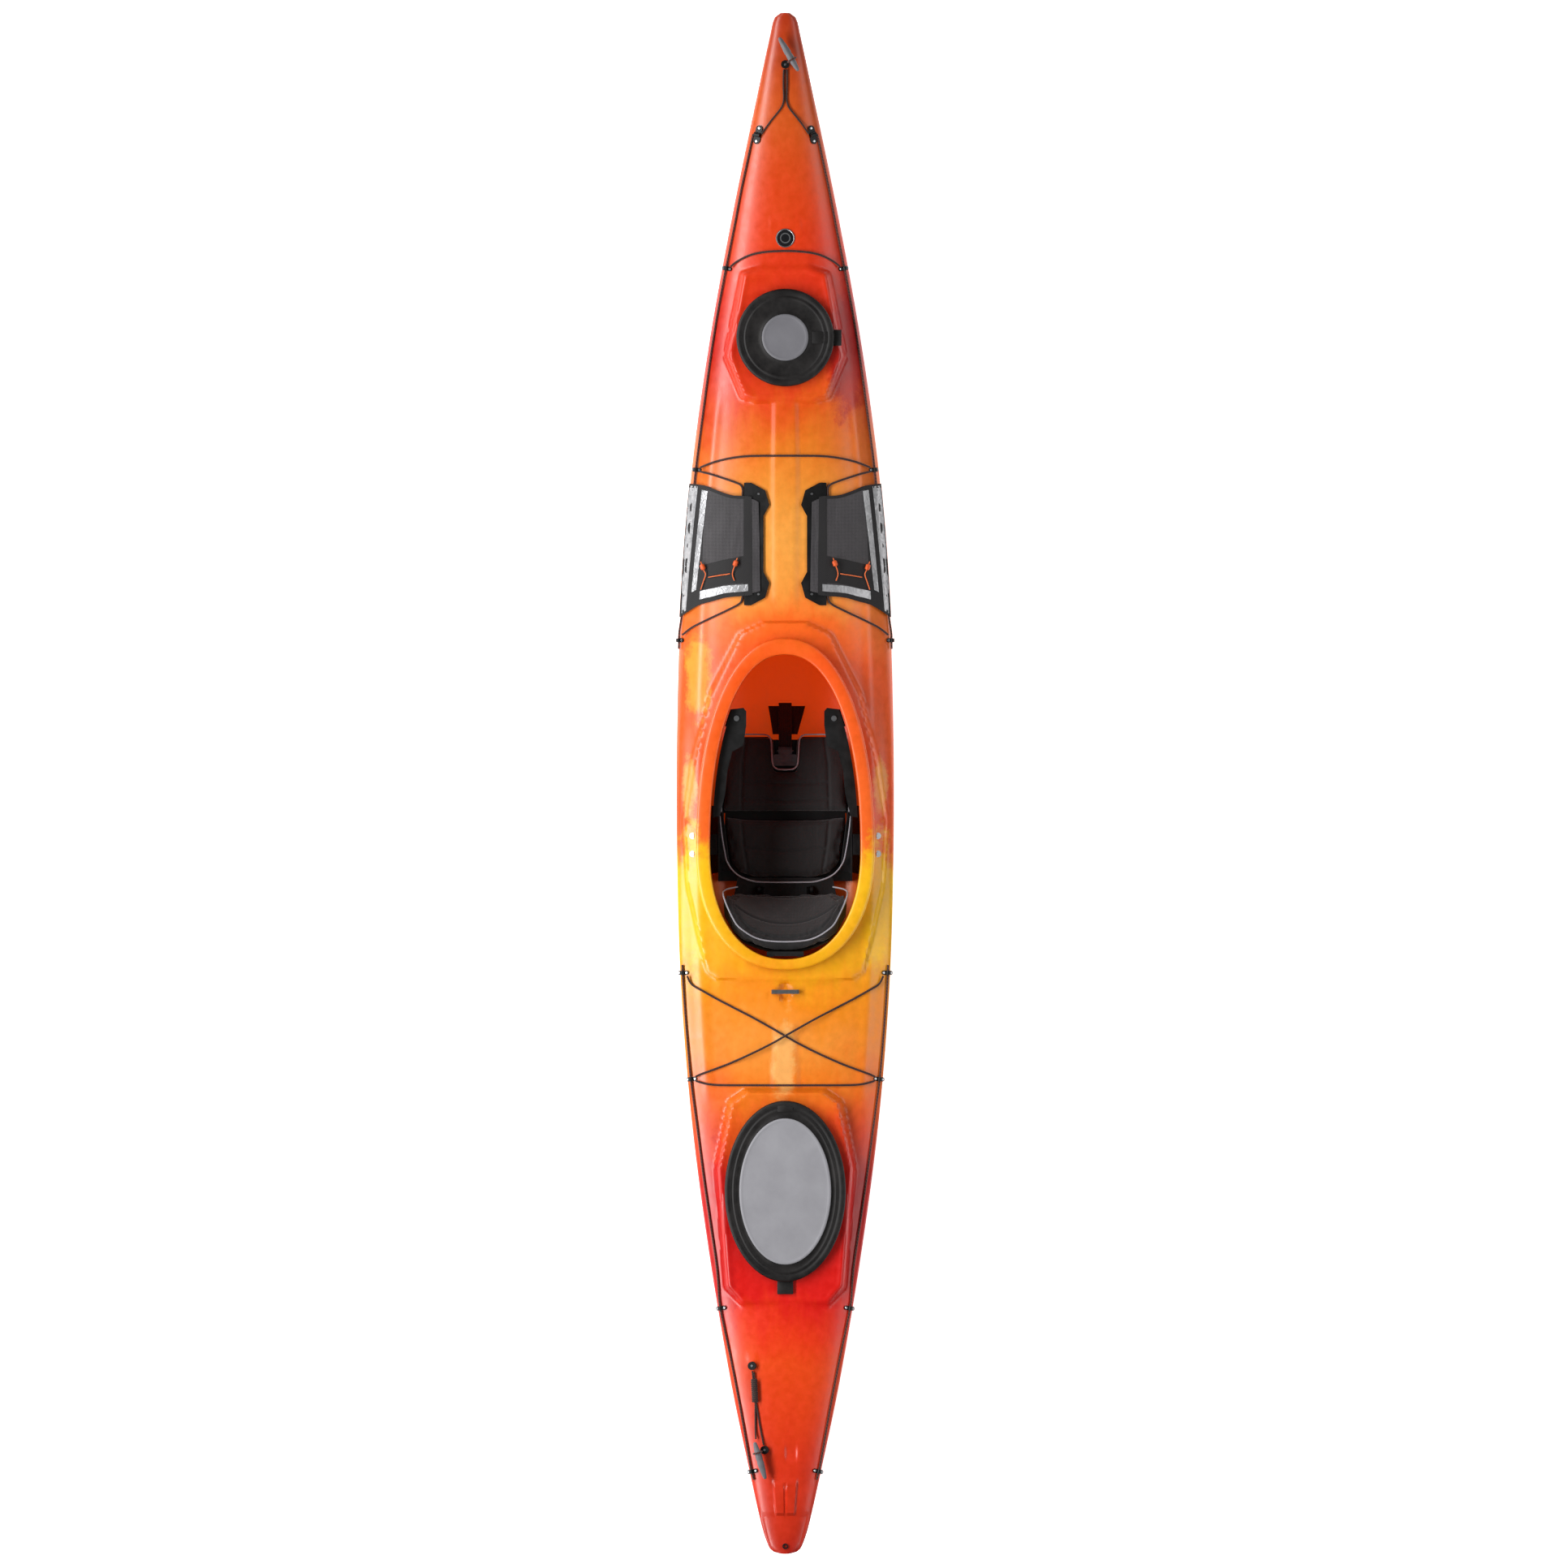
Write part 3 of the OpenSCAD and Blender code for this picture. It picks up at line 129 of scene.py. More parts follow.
MM = 0.001
HALF_LEN, HALF_BEAM = 2210, 312
SHEER_MID, BOW_RISE, STERN_RISE, ROCKER, TIP_DEPTH = 245, 150, 90, 45, 34
DECK_CROWN, WALL = 95, 5
PLAN = [(-1, .05), (-.997, .115), (-.99, .155), (-.965, .215), (-.9, .32), (-.775, .506),
        (-.606, .708), (-.437, .865), (-.267, .962), (-.1, 1), (.07, 1), (.239, .962),
        (.408, .865), (.577, .699), (.747, .478), (.915, .228), (.975, .135), (.994, .1), (1, .048)]
CROWN = [(-1, .15), (-.86, .3), (-.53, .46), (-.25, .38), (0, .62), (.19, 1),
         (.41, .93), (.58, .74), (.815, .45), (.95, .24), (1, .15)]
SECTION_MID = [(0, 0), (.2, 0), (.62, .13), (.88, .4), (.975, .75), (1, 1)]
SECTION_END = [(0, 0), (.12, .02), (.4, .3), (.65, .55), (.86, .8), (1, 1)]


def mix(a, b, t):
    return a * (1 - t) + b * t


def smooth(t):
    """Eases from 0 to 1."""
    t = min(max(t, 0), 1)
    return t * t * (3 - 2 * t)


def faired(table, u):
    """A fair curve through a table of places and values."""
    last = len(table) - 1
    i = 0
    while i < last - 1 and u >= table[i + 1][0]:
        i += 1

    def slope(k):
        a, b = table[max(k - 1, 0)], table[min(k + 1, last)]
        return (b[1] - a[1]) / (b[0] - a[0])

    w = table[i + 1][0] - table[i][0]
    s = (u - table[i][0]) / w
    return ((2 * s ** 3 - 3 * s * s + 1) * table[i][1] + (s ** 3 - 2 * s * s + s) * w * slope(i)
            + (3 * s * s - 2 * s ** 3) * table[i + 1][1] + (s ** 3 - s * s) * w * slope(i + 1))


def half_breadth(x):
    return HALF_BEAM * faired(PLAN, x / HALF_LEN)


def rise(x):
    return BOW_RISE if x > 0 else STERN_RISE


def sheer(x):
    return SHEER_MID + rise(x) * (abs(x) / HALF_LEN) ** 2.2


def keel(x):
    u = abs(x) / HALF_LEN
    stem = SHEER_MID + rise(x) - TIP_DEPTH - ROCKER
    return ROCKER * u ** 3 + stem * u ** (12 if x > 0 else 16)


def deck_z(x, y):
    """Height of the plain deck, without its mouldings."""
    t = min(abs(y) / half_breadth(x), 1)
    return sheer(x) + DECK_CROWN * faired(CROWN, x / HALF_LEN) * (1 - t ** 2.4) ** 0.62


# ---- Hull --------------------------------------------------------------------------------------
# The lower half of the one-piece shell: rotationally moulded polyethylene, 5 mm thick, with two
# chines to a side. Powders of four colours in the mould run into each other along the boat.


def empty_selection():
    if bpy.context.object and bpy.context.object.mode != "OBJECT":
        bpy.ops.object.mode_set(mode="OBJECT")
    bpy.ops.object.select_all(action="DESELECT")


def only(piece):
    """Makes a piece the one that the operators act on."""
    empty_selection()
    piece.select_set(True)
    bpy.context.view_layer.objects.active = piece


def apply_all(piece):
    only(piece)
    for modifier in list(piece.modifiers):
        bpy.ops.object.modifier_apply(modifier=modifier.name)


def sheet_of_quads(name, rows, columns, place):
    """A grid whose corners are moved to place(share along, share across)."""
    empty_selection()
    bpy.ops.mesh.primitive_grid_add(x_subdivisions=rows, y_subdivisions=columns, size=2)
    piece = bpy.context.object
    piece.name = name
    for v in piece.data.vertices:
        v.co = Vector(place((v.co.x + 1) / 2, (v.co.y + 1) / 2)) * MM
    return piece


def settle_normals(piece, merge=0.00005):
    """Merges doubled points and turns the faces outwards."""
    only(piece)
    bpy.ops.object.mode_set(mode="EDIT")
    bpy.ops.mesh.select_all(action="SELECT")
    bpy.ops.mesh.remove_doubles(threshold=merge)
    bpy.ops.mesh.normals_make_consistent(inside=False)
    bpy.ops.object.mode_set(mode="OBJECT")


def face_up(piece, up=True):
    """Turns an open skin so that its faces look up, or down."""
    total = sum(f.normal.z * f.area for f in piece.data.polygons)
    if (total > 0) != up:
        only(piece)
        bpy.ops.object.mode_set(mode="EDIT")
        bpy.ops.mesh.select_all(action="SELECT")
        bpy.ops.mesh.flip_normals()
        bpy.ops.object.mode_set(mode="OBJECT")


def round_shading(piece, degrees=40):
    only(piece)
    bpy.ops.object.shade_smooth_by_angle(angle=math.radians(degrees))


def hull_point(along, across):
    x = -HALF_LEN + 2 * HALF_LEN * (along - 0.045 * math.sin(4 * math.pi * along) / (4 * math.pi) * 4)
    x = min(max(x, -HALF_LEN), HALF_LEN)
    side = 1 if across > 0.5 else -1
    reach = abs(across - 0.5) * 2 * 5
    i = min(int(reach), 4)
    w = (abs(x) / HALF_LEN) ** 1.5
    a, b = [tuple(mix(SECTION_MID[k][n], SECTION_END[k][n], w) for n in (0, 1)) for k in (i, i + 1)]
    y, h = mix(a[0], b[0], reach - i), mix(a[1], b[1], reach - i)
    if along < 1e-6 or along > 1 - 1e-6:
        return x, 0, sheer(x)
    end = min(along, 1 - along)
    if end < 0.004:
        x = math.copysign(HALF_LEN, x)
    return x, side * half_breadth(x) * y, mix(keel(x), sheer(x), h)


hull = sheet_of_quads("hull", 300, 40, hull_point)
settle_normals(hull)
face_up(hull, up=False)
shell = hull.modifiers.new("wall", "SOLIDIFY")
shell.thickness = WALL * MM
shell.offset = -1
apply_all(hull)
round_shading(hull, 30)

# Linear polyethylene, rotationally moulded: slightly waxy, with a fine orange-peel skin and soft
# edges between the colours. The powders drift further at the flanks than on the centre line.
CENTRE_COLOURS = [
    (-2200, "#b51704"), (-2100, "#cc2a04"), (-2000, "#dc2f02"), (-1800, "#e83d02"), (-1640, "#ee4602"),
    (-1540, "#ee3503"), (-1450, "#e01004"), (-1250, "#d00503"), (-1080, "#d31c05"), (-980, "#e85a09"),
    (-850, "#f07c14"), (-720, "#f59230"), (-610, "#f58a0c"), (-500, "#f3a808"), (-330, "#fac00b"),
    (-215, "#f8b30a"), (-120, "#f98222"), (60, "#f86518"), (300, "#f4550a"), (450, "#f76a18"),
    (560, "#f5983a"), (680, "#f2a040"), (800, "#ee9230"), (960, "#e87917"), (1060, "#e4600a"),
    (1150, "#df3c04"), (1290, "#d92403"), (1440, "#df2f02"), (1560, "#e33c01"), (1750, "#dd4808"),
    (1950, "#d65610"), (2180, "#b83405")]
FLANK_COLOURS = [
    (-2200, "#b51704"), (-2000, "#d62c03"), (-1700, "#e84203"), (-1500, "#e52a03"), (-1400, "#cc0a02"),
    (-1150, "#c80602"), (-1040, "#dd3a05"), (-900, "#ea5f0c"), (-760, "#f08420"), (-640, "#f08a10"),
    (-420, "#f5b00c"), (-280, "#f9bd12"), (-190, "#f06014"), (-60, "#ee5210"), (120, "#f05a12"),
    (300, "#f0560a"), (420, "#f26a1c"), (600, "#ee7c20"), (800, "#e87418"), (1000, "#e0600c"),
    (1120, "#cf3404"), (1250, "#c01003"), (1400, "#c81804"), (1500, "#d63403"), (1700, "#de4004"),
    (1950, "#d65610"), (2180, "#b83405")]
polyethylene, surface = new_finish("rotomoulded_polyethylene")
place = add(polyethylene, "ShaderNodeTexCoord").outputs["Object"]
# Swirls of the powder, about 300 mm and 60 mm across
drift = add(polyethylene, "ShaderNodeTexNoise", {
    "Vector": place, "Scale": 3.4, "Detail": 4.0, "Roughness": 0.55})
wisps = add(polyethylene, "ShaderNodeTexNoise", {
    "Vector": add(polyethylene, "ShaderNodeMapping", {"Vector": place, "Scale": (7, 22, 16)}).outputs[0],
    "Scale": 1.0, "Detail": 6.0, "Roughness": 0.62, "Distortion": 0.8})
split = add(polyethylene, "ShaderNodeSeparateXYZ", {0: place})
swirl = add(polyethylene, "ShaderNodeMath", {
    0: drift.outputs["Fac"], 1: 0.5}, operation="SUBTRACT")
swirl = add(polyethylene, "ShaderNodeMath", {0: swirl.outputs[0], 1: 0.30}, operation="MULTIPLY")
ragged = add(polyethylene, "ShaderNodeMath", {
    0: wisps.outputs["Fac"], 1: 0.14, 2: swirl.outputs[0]}, operation="MULTIPLY_ADD")
shifted = add(polyethylene, "ShaderNodeMath", {
    0: split.outputs["X"], 1: ragged.outputs[0]}, operation="ADD")
shifted = add(polyethylene, "ShaderNodeMath", {0: shifted.outputs[0], 1: -0.07}, operation="ADD")
share = add(polyethylene, "ShaderNodeMapRange", {
    "Value": shifted.outputs[0], "From Min": -HALF_LEN * MM, "From Max": HALF_LEN * MM})
ramps = []
for colours in (CENTRE_COLOURS, FLANK_COLOURS):
    ramp = add(polyethylene, "ShaderNodeValToRGB", {"Fac": share.outputs[0]})
    stops = ramp.color_ramp.elements
    while len(stops) < len(colours):
        stops.new(0.5)
    for stop, (x, colour) in zip(stops, colours):
        stop.position = (x + HALF_LEN) / (2 * HALF_LEN)
    for stop, (x, colour) in zip(stops, colours):
        stop.color = linear(colour)
    ramps.append(ramp.outputs["Color"])
off_centre = add(polyethylene, "ShaderNodeMath", {0: split.outputs["Y"]}, operation="ABSOLUTE")
flank = add(polyethylene, "ShaderNodeMapRange", {
    "Value": off_centre.outputs[0], "From Min": 0.11, "From Max": 0.26}, interpolation_type="SMOOTHSTEP")
body = add(polyethylene, "ShaderNodeMix", {
    0: flank.outputs[0], 6: ramps[0], 7: ramps[1]}, data_type="RGBA")
# Yellow powder thrown on around the cockpit and onto the port flank, and red blooms by the hatches,
# each with ragged edges: middle, half-widths, colour and strength of each patch
rags = add(polyethylene, "ShaderNodeTexNoise", {
    "Vector": place, "Scale": 17.0, "Detail": 8.0, "Roughness": 0.72})
patches = [((0.31, 0.250, 0.28), (0.165, 0.045, 0.4), "#f9a428", 0.75),
           ((-0.79, 0.0, 0.3), (0.16, 0.045, 0.4), "#f9b868", 0.75),
           ((-0.33, 0.262, 0.29), (0.26, 0.060, 0.4), "#fbbd0a", 0.95),
           ((-0.33, -0.262, 0.29), (0.26, 0.060, 0.4), "#fbbd0a", 0.95),
           ((-0.01, 0.275, 0.28), (0.12, 0.026, 0.4), "#f9a84a", 0.8),
           ((-0.01, -0.275, 0.28), (0.12, 0.026, 0.4), "#f9a84a", 0.8),
           ((1.24, -0.175, 0.32), (0.26, 0.075, 0.4), "#b00402", 0.8),
           ((-1.32, 0.19, 0.3), (0.34, 0.07, 0.4), "#c80402", 0.8)]
colour = body.outputs[2]
for centre, spread, hue, strength in patches:
    away = add(polyethylene, "ShaderNodeVectorMath", {0: place, 1: centre}, operation="SUBTRACT")
    scaled = add(polyethylene, "ShaderNodeVectorMath", {
        0: away.outputs[0], 1: spread}, operation="DIVIDE")
    reach = add(polyethylene, "ShaderNodeVectorMath", {0: scaled.outputs[0]}, operation="LENGTH")
    torn = add(polyethylene, "ShaderNodeMath", {
        0: rags.outputs["Fac"], 1: -1.7, 2: reach.outputs["Value"]}, operation="MULTIPLY_ADD")
    patch = add(polyethylene, "ShaderNodeMapRange", {
        "Value": torn.outputs[0], "From Min": 0.04, "From Max": -0.34, "To Min": 0.0,
        "To Max": strength})
    colour = add(polyethylene, "ShaderNodeMix", {
        0: patch.outputs[0], 6: colour, 7: linear(hue)}, data_type="RGBA").outputs[2]
# Redder colour on the low faces that look up inside the boat: partly red powder settled in the bottom of
# the mould, partly painted shade of the cockpit's interior
deep = add(polyethylene, "ShaderNodeMapRange", {
    "Value": split.outputs["Z"], "From Min": 0.245, "From Max": 0.19, "To Min": 0.0, "To Max": 0.8})
facing = add(polyethylene, "ShaderNodeSeparateXYZ", {
    0: add(polyethylene, "ShaderNodeNewGeometry").outputs["Normal"]})
inside = add(polyethylene, "ShaderNodeMapRange", {
    "Value": facing.outputs["Z"], "From Min": 0.05, "From Max": 0.4})
settled_and_shaded = add(polyethylene, "ShaderNodeMath", {
    0: deep.outputs[0], 1: inside.outputs[0]}, operation="MULTIPLY")
colour = add(polyethylene, "ShaderNodeMix", {
    0: settled_and_shaded.outputs[0], 6: colour, 7: linear("#cf3406")}, data_type="RGBA").outputs[2]
# Painted glow: those faces emit orange light, most ahead of the seat and less further aft, standing in
# for daylight coming through the thin bottom
painted_glow_ramp = add(polyethylene, "ShaderNodeMapRange", {
    "Value": split.outputs["X"], "From Min": -0.30, "From Max": 0.25, "To Min": 0.04, "To Max": 0.55})
painted_glow = add(polyethylene, "ShaderNodeMath", {
    0: painted_glow_ramp.outputs[0], 1: settled_and_shaded.outputs[0]}, operation="MULTIPLY")
feed(surface, {"Emission Color": linear("#e04a06"), "Emission Strength": painted_glow.outputs[0]})
mottle = add(polyethylene, "ShaderNodeTexNoise", {
    "Vector": place, "Scale": 46.0, "Detail": 4.0, "Roughness": 0.6})
tone = add(polyethylene, "ShaderNodeMapRange", {
    "Value": mottle.outputs["Fac"], "From Min": 0.3, "From Max": 0.7, "To Min": 0.93, "To Max": 1.06})
toned = add(polyethylene, "ShaderNodeHueSaturation", {"Color": colour, "Value": tone.outputs[0]})
feed(surface, {"Base Color": toned.outputs[0]})
gloss = add(polyethylene, "ShaderNodeMapRange", {
    "Value": mottle.outputs["Fac"], "From Min": 0.3, "From Max": 0.75, "To Min": 0.30, "To Max": 0.44})
feed(surface, {"Roughness": gloss.outputs[0]})
# Orange peel of the moulded skin, 4 mm across, and the slow waves of a hand-finished mould
peel = add(polyethylene, "ShaderNodeTexNoise", {"Vector": place, "Scale": 250.0, "Detail": 2.0})
peel_bump = add(polyethylene, "ShaderNodeBump", {
    "Height": peel.outputs["Fac"], "Strength": 0.35, "Distance": 0.0004})
waves = add(polyethylene, "ShaderNodeTexNoise", {"Vector": place, "Scale": 9.0, "Detail": 1.0})
wave_bump = add(polyethylene, "ShaderNodeBump", {
    "Height": waves.outputs["Fac"], "Strength": 0.5, "Distance": 0.004, "Normal": peel_bump.outputs[0]})
feed(surface, {
    "Normal": wave_bump.outputs[0], "IOR": 1.51, "Subsurface Weight": 0.06,
    "Subsurface Radius": (0.006, 0.002, 0.001), "Subsurface Scale": 0.6, "Coat Weight": 0.15,
    "Coat Roughness": 0.18})


def finished(piece, finish, body_name, slot, *stands_for):
    """Gives a piece its finish and its place on the boat."""
    piece.data.materials.clear()
    piece.data.materials.append(finish)
    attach(piece, body_name)
    if stands_for:
        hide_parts(*stands_for)
    return piece


finished(hull, polyethylene, "boat", "hull_plastic", "hull_shell")

# ---- Deck --------------------------------------------------------------------------------------
# The upper half of the same moulding. Raised surrounds carry the two hatches, a stepped surround
# carries the cockpit, and shallow strips, lips and recesses are moulded in for stiffness and gear.

BOW_HATCH_X, STERN_HATCH_X = 1281, -1169
BOW_FLAT_Z, STERN_FLAT_Z = 370.391, 324.991
COCKPIT_X, COCKPIT_FRONT, COCKPIT_REAR, COCKPIT_HALF = -190, 562, 313, 216
LIP_FRONT, LIP_SIDE, LIP_REAR = 47, 41, 31
COAMING_X0, COAMING_X1 = COCKPIT_X - COCKPIT_REAR - LIP_REAR, COCKPIT_X + COCKPIT_FRONT + LIP_FRONT
COAMING_Z0, COAMING_Z1 = 315.318, 380.837
RIM_R, STERN_RIM_A, STERN_RIM_B = 131.6, 251.6, 165.6
DECK_ROWS = [(-2204, 4), (-1980, 26), (-1500, 38), (-860, 94), (-565, 30), (470, 126), (1085, 46),
             (1500, 62), (2198, 46), (2210, 4)]
DECK_COLUMNS = 84


def both(half):
    """A closed outline from its port half."""
    return half + [(x, -y) for x, y in reversed(half)]


BOW_SURROUND = both([(202, 66), (182, 118), (-53, 163), (-166, 119), (-177, 84)])
STERN_SURROUND = both([(283, 110), (253, 154), (66, 192), (-274, 165), (-321, 122)])
COCKPIT_FRONT_STEP = both([(466, 60), (432, 130), (258, 217), (57, 267), (-97, 290), (-112, 272),
                           (-112, 0)])
COCKPIT_REAR_STEP = both([(-104, 292), (-300, 281), (-540, 226), (-560, 196), (-566, 120)])


def beside(x, y, outline):
    """Distance from a closed outline, negative inside it."""
    nearest, inside = 1e9, False
    for (ax, ay), (bx, by) in zip(outline, outline[1:] + outline[:1]):
        dx, dy = bx - ax, by - ay
        along = ((x - ax) * dx + (y - ay) * dy) / (dx * dx + dy * dy or 1)
        along = min(max(along, 0), 1)
        nearest = min(nearest, math.hypot(x - ax - along * dx, y - ay - along * dy))
        if (ay > y) != (by > y) and x < (bx - ax) * (y - ay) / (by - ay) + ax:
            inside = not inside
    return -nearest if inside else nearest


def egg(angle, front, side, rear, power=2.2):
    """Point of the cockpit's egg outline, grown at the front, the sides and the rear."""
    c, s = math.cos(angle), math.sin(angle)
    reach = COCKPIT_FRONT + front if c > 0 else COCKPIT_REAR + rear
    return (COCKPIT_X + math.copysign(abs(c) ** (2 / power), c) * reach,
            math.copysign(abs(s) ** (2 / power), s) * (COCKPIT_HALF + side))


def outside_egg(x, y, front, side, rear, power=2.2):
    """1 on the grown egg outline, less inside and more outside."""
    dx = x - COCKPIT_X
    reach = COCKPIT_FRONT + front if dx > 0 else COCKPIT_REAR + rear
    return (abs(dx / reach) ** power + abs(y / (COCKPIT_HALF + side)) ** power) ** (1 / power)


def moulded_z(x, y):
    """Height of the deck with everything that is moulded into it."""
    z = deck_z(x, y)
    b = half_breadth(x)
    t = min(abs(y) / b, 1)
    # Soft shoulder where the flat of the deck turns down to the gunwale
    z += 3.5 * math.exp(-((t - 0.80) / 0.055) ** 2) * smooth((1180 - x) / 160) * smooth((x + 960) / 160)
    # Cockpit: two steps, and the foot of the coaming
    if -620 < x < 560:
        inner = outside_egg(x, y, 23, 20, 15)
        outer = outside_egg(x, y, 94, 74, 61, 2.5)
        foot = smooth((1 - outer) / max(inner - outer + 0.16, 0.02)) if outer < 1 else 0
        step = 9 * smooth(-beside(x, y, COCKPIT_REAR_STEP) / 9 + 0.5)
        step = max(step, 12 * smooth(-beside(x, y, COCKPIT_FRONT_STEP) / 10 + 0.5))
        rim = 14 * foot
        z += max(step, rim) * smooth((1 - t) / 0.05)
    # Hatch surrounds stand level above the deck
    for hx, flat, outline in ((BOW_HATCH_X, BOW_FLAT_Z, BOW_SURROUND),
                              (STERN_HATCH_X, STERN_FLAT_Z, STERN_SURROUND)):
        if abs(x - hx) < 350:
            d = beside(x - hx, y, outline)
            if d < 22:
                up = smooth((14 - d) / 18)
                lip = 1.8 * math.exp(-((d + 9) / 5) ** 2)
                z = mix(z, max(flat, z), up) + lip
    # Strips along the middle of the fore and aft decks
    if 505 < x < 1112:
        end = smooth((x - 515) / 14) * smooth((1104 - x) / 12)
        z += 4.5 * end * smooth((38 - abs(y)) / 7)
    if -890 < x < -678:
        wide = mix(29, 39, (-682 - x) / 204)
        z += 4 * smooth((wide + 3 - abs(y)) / 6) * smooth((-680 - x) / 10)
    # Recess under the security bar
    if abs(x + 597) < 34:
        z -= 11 * smooth((1.12 - math.hypot((x + 597) / 28, y / 18.5)) / 0.35)
    # Lips ahead of the badge and of the stern fitting
    for lx, ly, reach, bend in ((1619, 0, 50, 16), (-1652, 94, 22, 10)):
        if abs(x - lx) < 40 and abs(y - ly) < reach + 8:
            line = lx - bend * ((y - ly) / reach) ** 2
            z += 3.2 * math.exp(-((x - line) / 6) ** 2) * smooth((reach - abs(y - ly)) / 12)
    # Drain recess, rudder block and ledge at the stern
    if abs(x + 1922) < 26:
        z -= 4.5 * smooth((22 - abs(x + 1922)) / 8) * smooth((20 - abs(y + 17)) / 8)
    if -2110 < x < -1985:
        wide = mix(38, 30, (-1998 - x) / 99)
        block = smooth((wide - abs(y)) / 6) * smooth((-1996 - x) / 8) * smooth((x + 2100) / 8)
        z += 5 * block - 3.6 * block * smooth((5 - abs(y)) / 3) * smooth((-2010 - x) / 8)
    if x < -2088:
        z -= 3 * smooth((-2094 - x) / 8) * smooth((1 - t) / 0.2)
    return z


def deck_station(along):
    """Place along the boat of a share of the deck's rows."""
    left = along * sum(rows for x, rows in DECK_ROWS)
    start = -HALF_LEN
    for x, rows in DECK_ROWS:
        if left <= rows + 1e-6:
            return mix(start, x, left / rows)
        left -= rows
        start = x
    return HALF_LEN


def deck_point(along, across):
    x = deck_station(along)
    s = across * 2 - 1
    t = s * (1.25 - 0.25 * s * s)
    if along < 1e-6 or along > 1 - 1e-6:
        return x, 0, sheer(x)
    if min(along, 1 - along) < 0.0028:
        x = math.copysign(HALF_LEN, x)
    y = t * half_breadth(x)
    return x, y, moulded_z(x, y)


deck = sheet_of_quads("deck", sum(rows for x, rows in DECK_ROWS), DECK_COLUMNS, deck_point)
settle_normals(deck)
face_up(deck)
shell = deck.modifiers.new("wall", "SOLIDIFY")
shell.thickness = WALL * MM
shell.offset = -1
apply_all(deck)


def oval_cutter(name, middle, half_long, half_wide, z0, z1, outline=None):
    """A prism that opens the deck: an oval, or any outline of 96 points."""
    empty_selection()
    bpy.ops.mesh.primitive_cylinder_add(vertices=96, radius=1, depth=2, end_fill_type="NGON")
    cutter = bpy.context.object
    cutter.name = name
    for v in cutter.data.vertices:
        angle = math.atan2(v.co.y, v.co.x)
        x, y = outline(angle) if outline else (middle + half_long * math.cos(angle),
                                               half_wide * math.sin(angle))
        v.co = Vector((x, y, z1 if v.co.z > 0 else z0)) * MM
    return cutter


for cutter in [
        oval_cutter("cockpit_cutter", 0, 0, 0, 150, 600, lambda a: egg(a, 2.5, 2.5, 2.5)),
        oval_cutter("bow_mouth_cutter", BOW_HATCH_X, RIM_R + 0.2, RIM_R + 0.2, 300, 600),
        oval_cutter("stern_mouth_cutter", STERN_HATCH_X, STERN_RIM_A + 0.2, STERN_RIM_B + 0.2, 240,
                    600)]:
    cut = deck.modifiers.new("opening", "BOOLEAN")
    cut.operation = "DIFFERENCE"
    cut.object = cutter
    cut.solver = "MANIFOLD"
    only(deck)
    bpy.ops.object.modifier_apply(modifier=cut.name)
    bpy.data.objects.remove(cutter)
round_shading(deck, 34)
finished(deck, polyethylene, "boat", "hull_plastic", "deck_shell")

# ---- Coaming -----------------------------------------------------------------------------------
# The rolled lip that a spray deck grips, moulded with the deck: a wall around the cockpit with a
# flange turned outwards at its top and a bead along the outer edge.

COAMING_SECTION = [
    (0, 0, 1), (0, -16, 0), (0, -4, 0), (.03, -1.2, 0), (.12, .4, 0), (.45, 1.4, 0), (.75, .9, 0),
    (.93, -.8, 0), (1, -4, 0), (1, -10.5, 0), (.95, -11.5, 0), (.88, -10.5, 0), (.86, -5.2, 0),
    (.2, -5.2, 0), (.13, -16, 0), (.13, 0, 1)]
RING_STEPS = 128


def coaming_z(x):
    return mix(COAMING_Z0, COAMING_Z1, (x - COAMING_X0) / (COAMING_X1 - COAMING_X0))


empty_selection()
bpy.ops.mesh.primitive_torus_add(major_segments=RING_STEPS, minor_segments=len(COAMING_SECTION))
coaming = bpy.context.object
coaming.name = "coaming"
for i, v in enumerate(coaming.data.vertices):
    ring, k = divmod(i, len(COAMING_SECTION))
    out, drop, at_foot = COAMING_SECTION[k]
    x, y = egg(2 * math.pi * ring / RING_STEPS, out * LIP_FRONT, out * LIP_SIDE, out * LIP_REAR)
    v.co = Vector((x, y, deck_z(x, y) - WALL - 1 if at_foot else coaming_z(x) + drop)) * MM
settle_normals(coaming)
fair = coaming.modifiers.new("round", "SUBSURF")
fair.levels = fair.render_levels = 1
apply_all(coaming)
round_shading(coaming, 60)
# The same powders, but the orange reaches further aft along the lip than on the deck around it
lip_skin = polyethylene.copy()
lip_skin.name = "rotomoulded_coaming_lip"
for node in lip_skin.node_tree.nodes:
    if node.type == "VALTORGB":
        for stop in node.color_ramp.elements:
            x = stop.position * 2 * HALF_LEN - HALF_LEN
            if -240 < x < 100:
                stop.color = linear("#f4651a")
    elif node.type == "MIX" and tuple(node.inputs[7].default_value)[:3] == linear("#fbbd0a")[:3]:
        node.inputs[7].default_value = linear("#f79a12")
finished(coaming, lip_skin, "boat", "hull_plastic", "deck_shell")

# ---- Bulkheads ---------------------------------------------------------------------------------
# Two walls of closed-cell polyethylene foam, cut by saw and welded in behind each hatch. The sawn
# face shows cells 1 to 2 mm across.

cell_foam, surface = new_finish("sawn_closed_cell_foam")
place = add(cell_foam, "ShaderNodeTexCoord").outputs["Object"]
cells = add(cell_foam, "ShaderNodeTexVoronoi", {"Vector": place, "Scale": 600.0})
shade = add(cell_foam, "ShaderNodeMix", {
    0: cells.outputs["Distance"], 6: linear("#1b1b1c"), 7: linear("#3a3a3c")}, data_type="RGBA")
dent = add(cell_foam, "ShaderNodeBump", {
    "Height": cells.outputs["Distance"], "Strength": 0.5, "Distance": 0.0008})
feed(surface, {"Base Color": shade.outputs[2], "Normal": dent.outputs[0], "Roughness": 0.85})


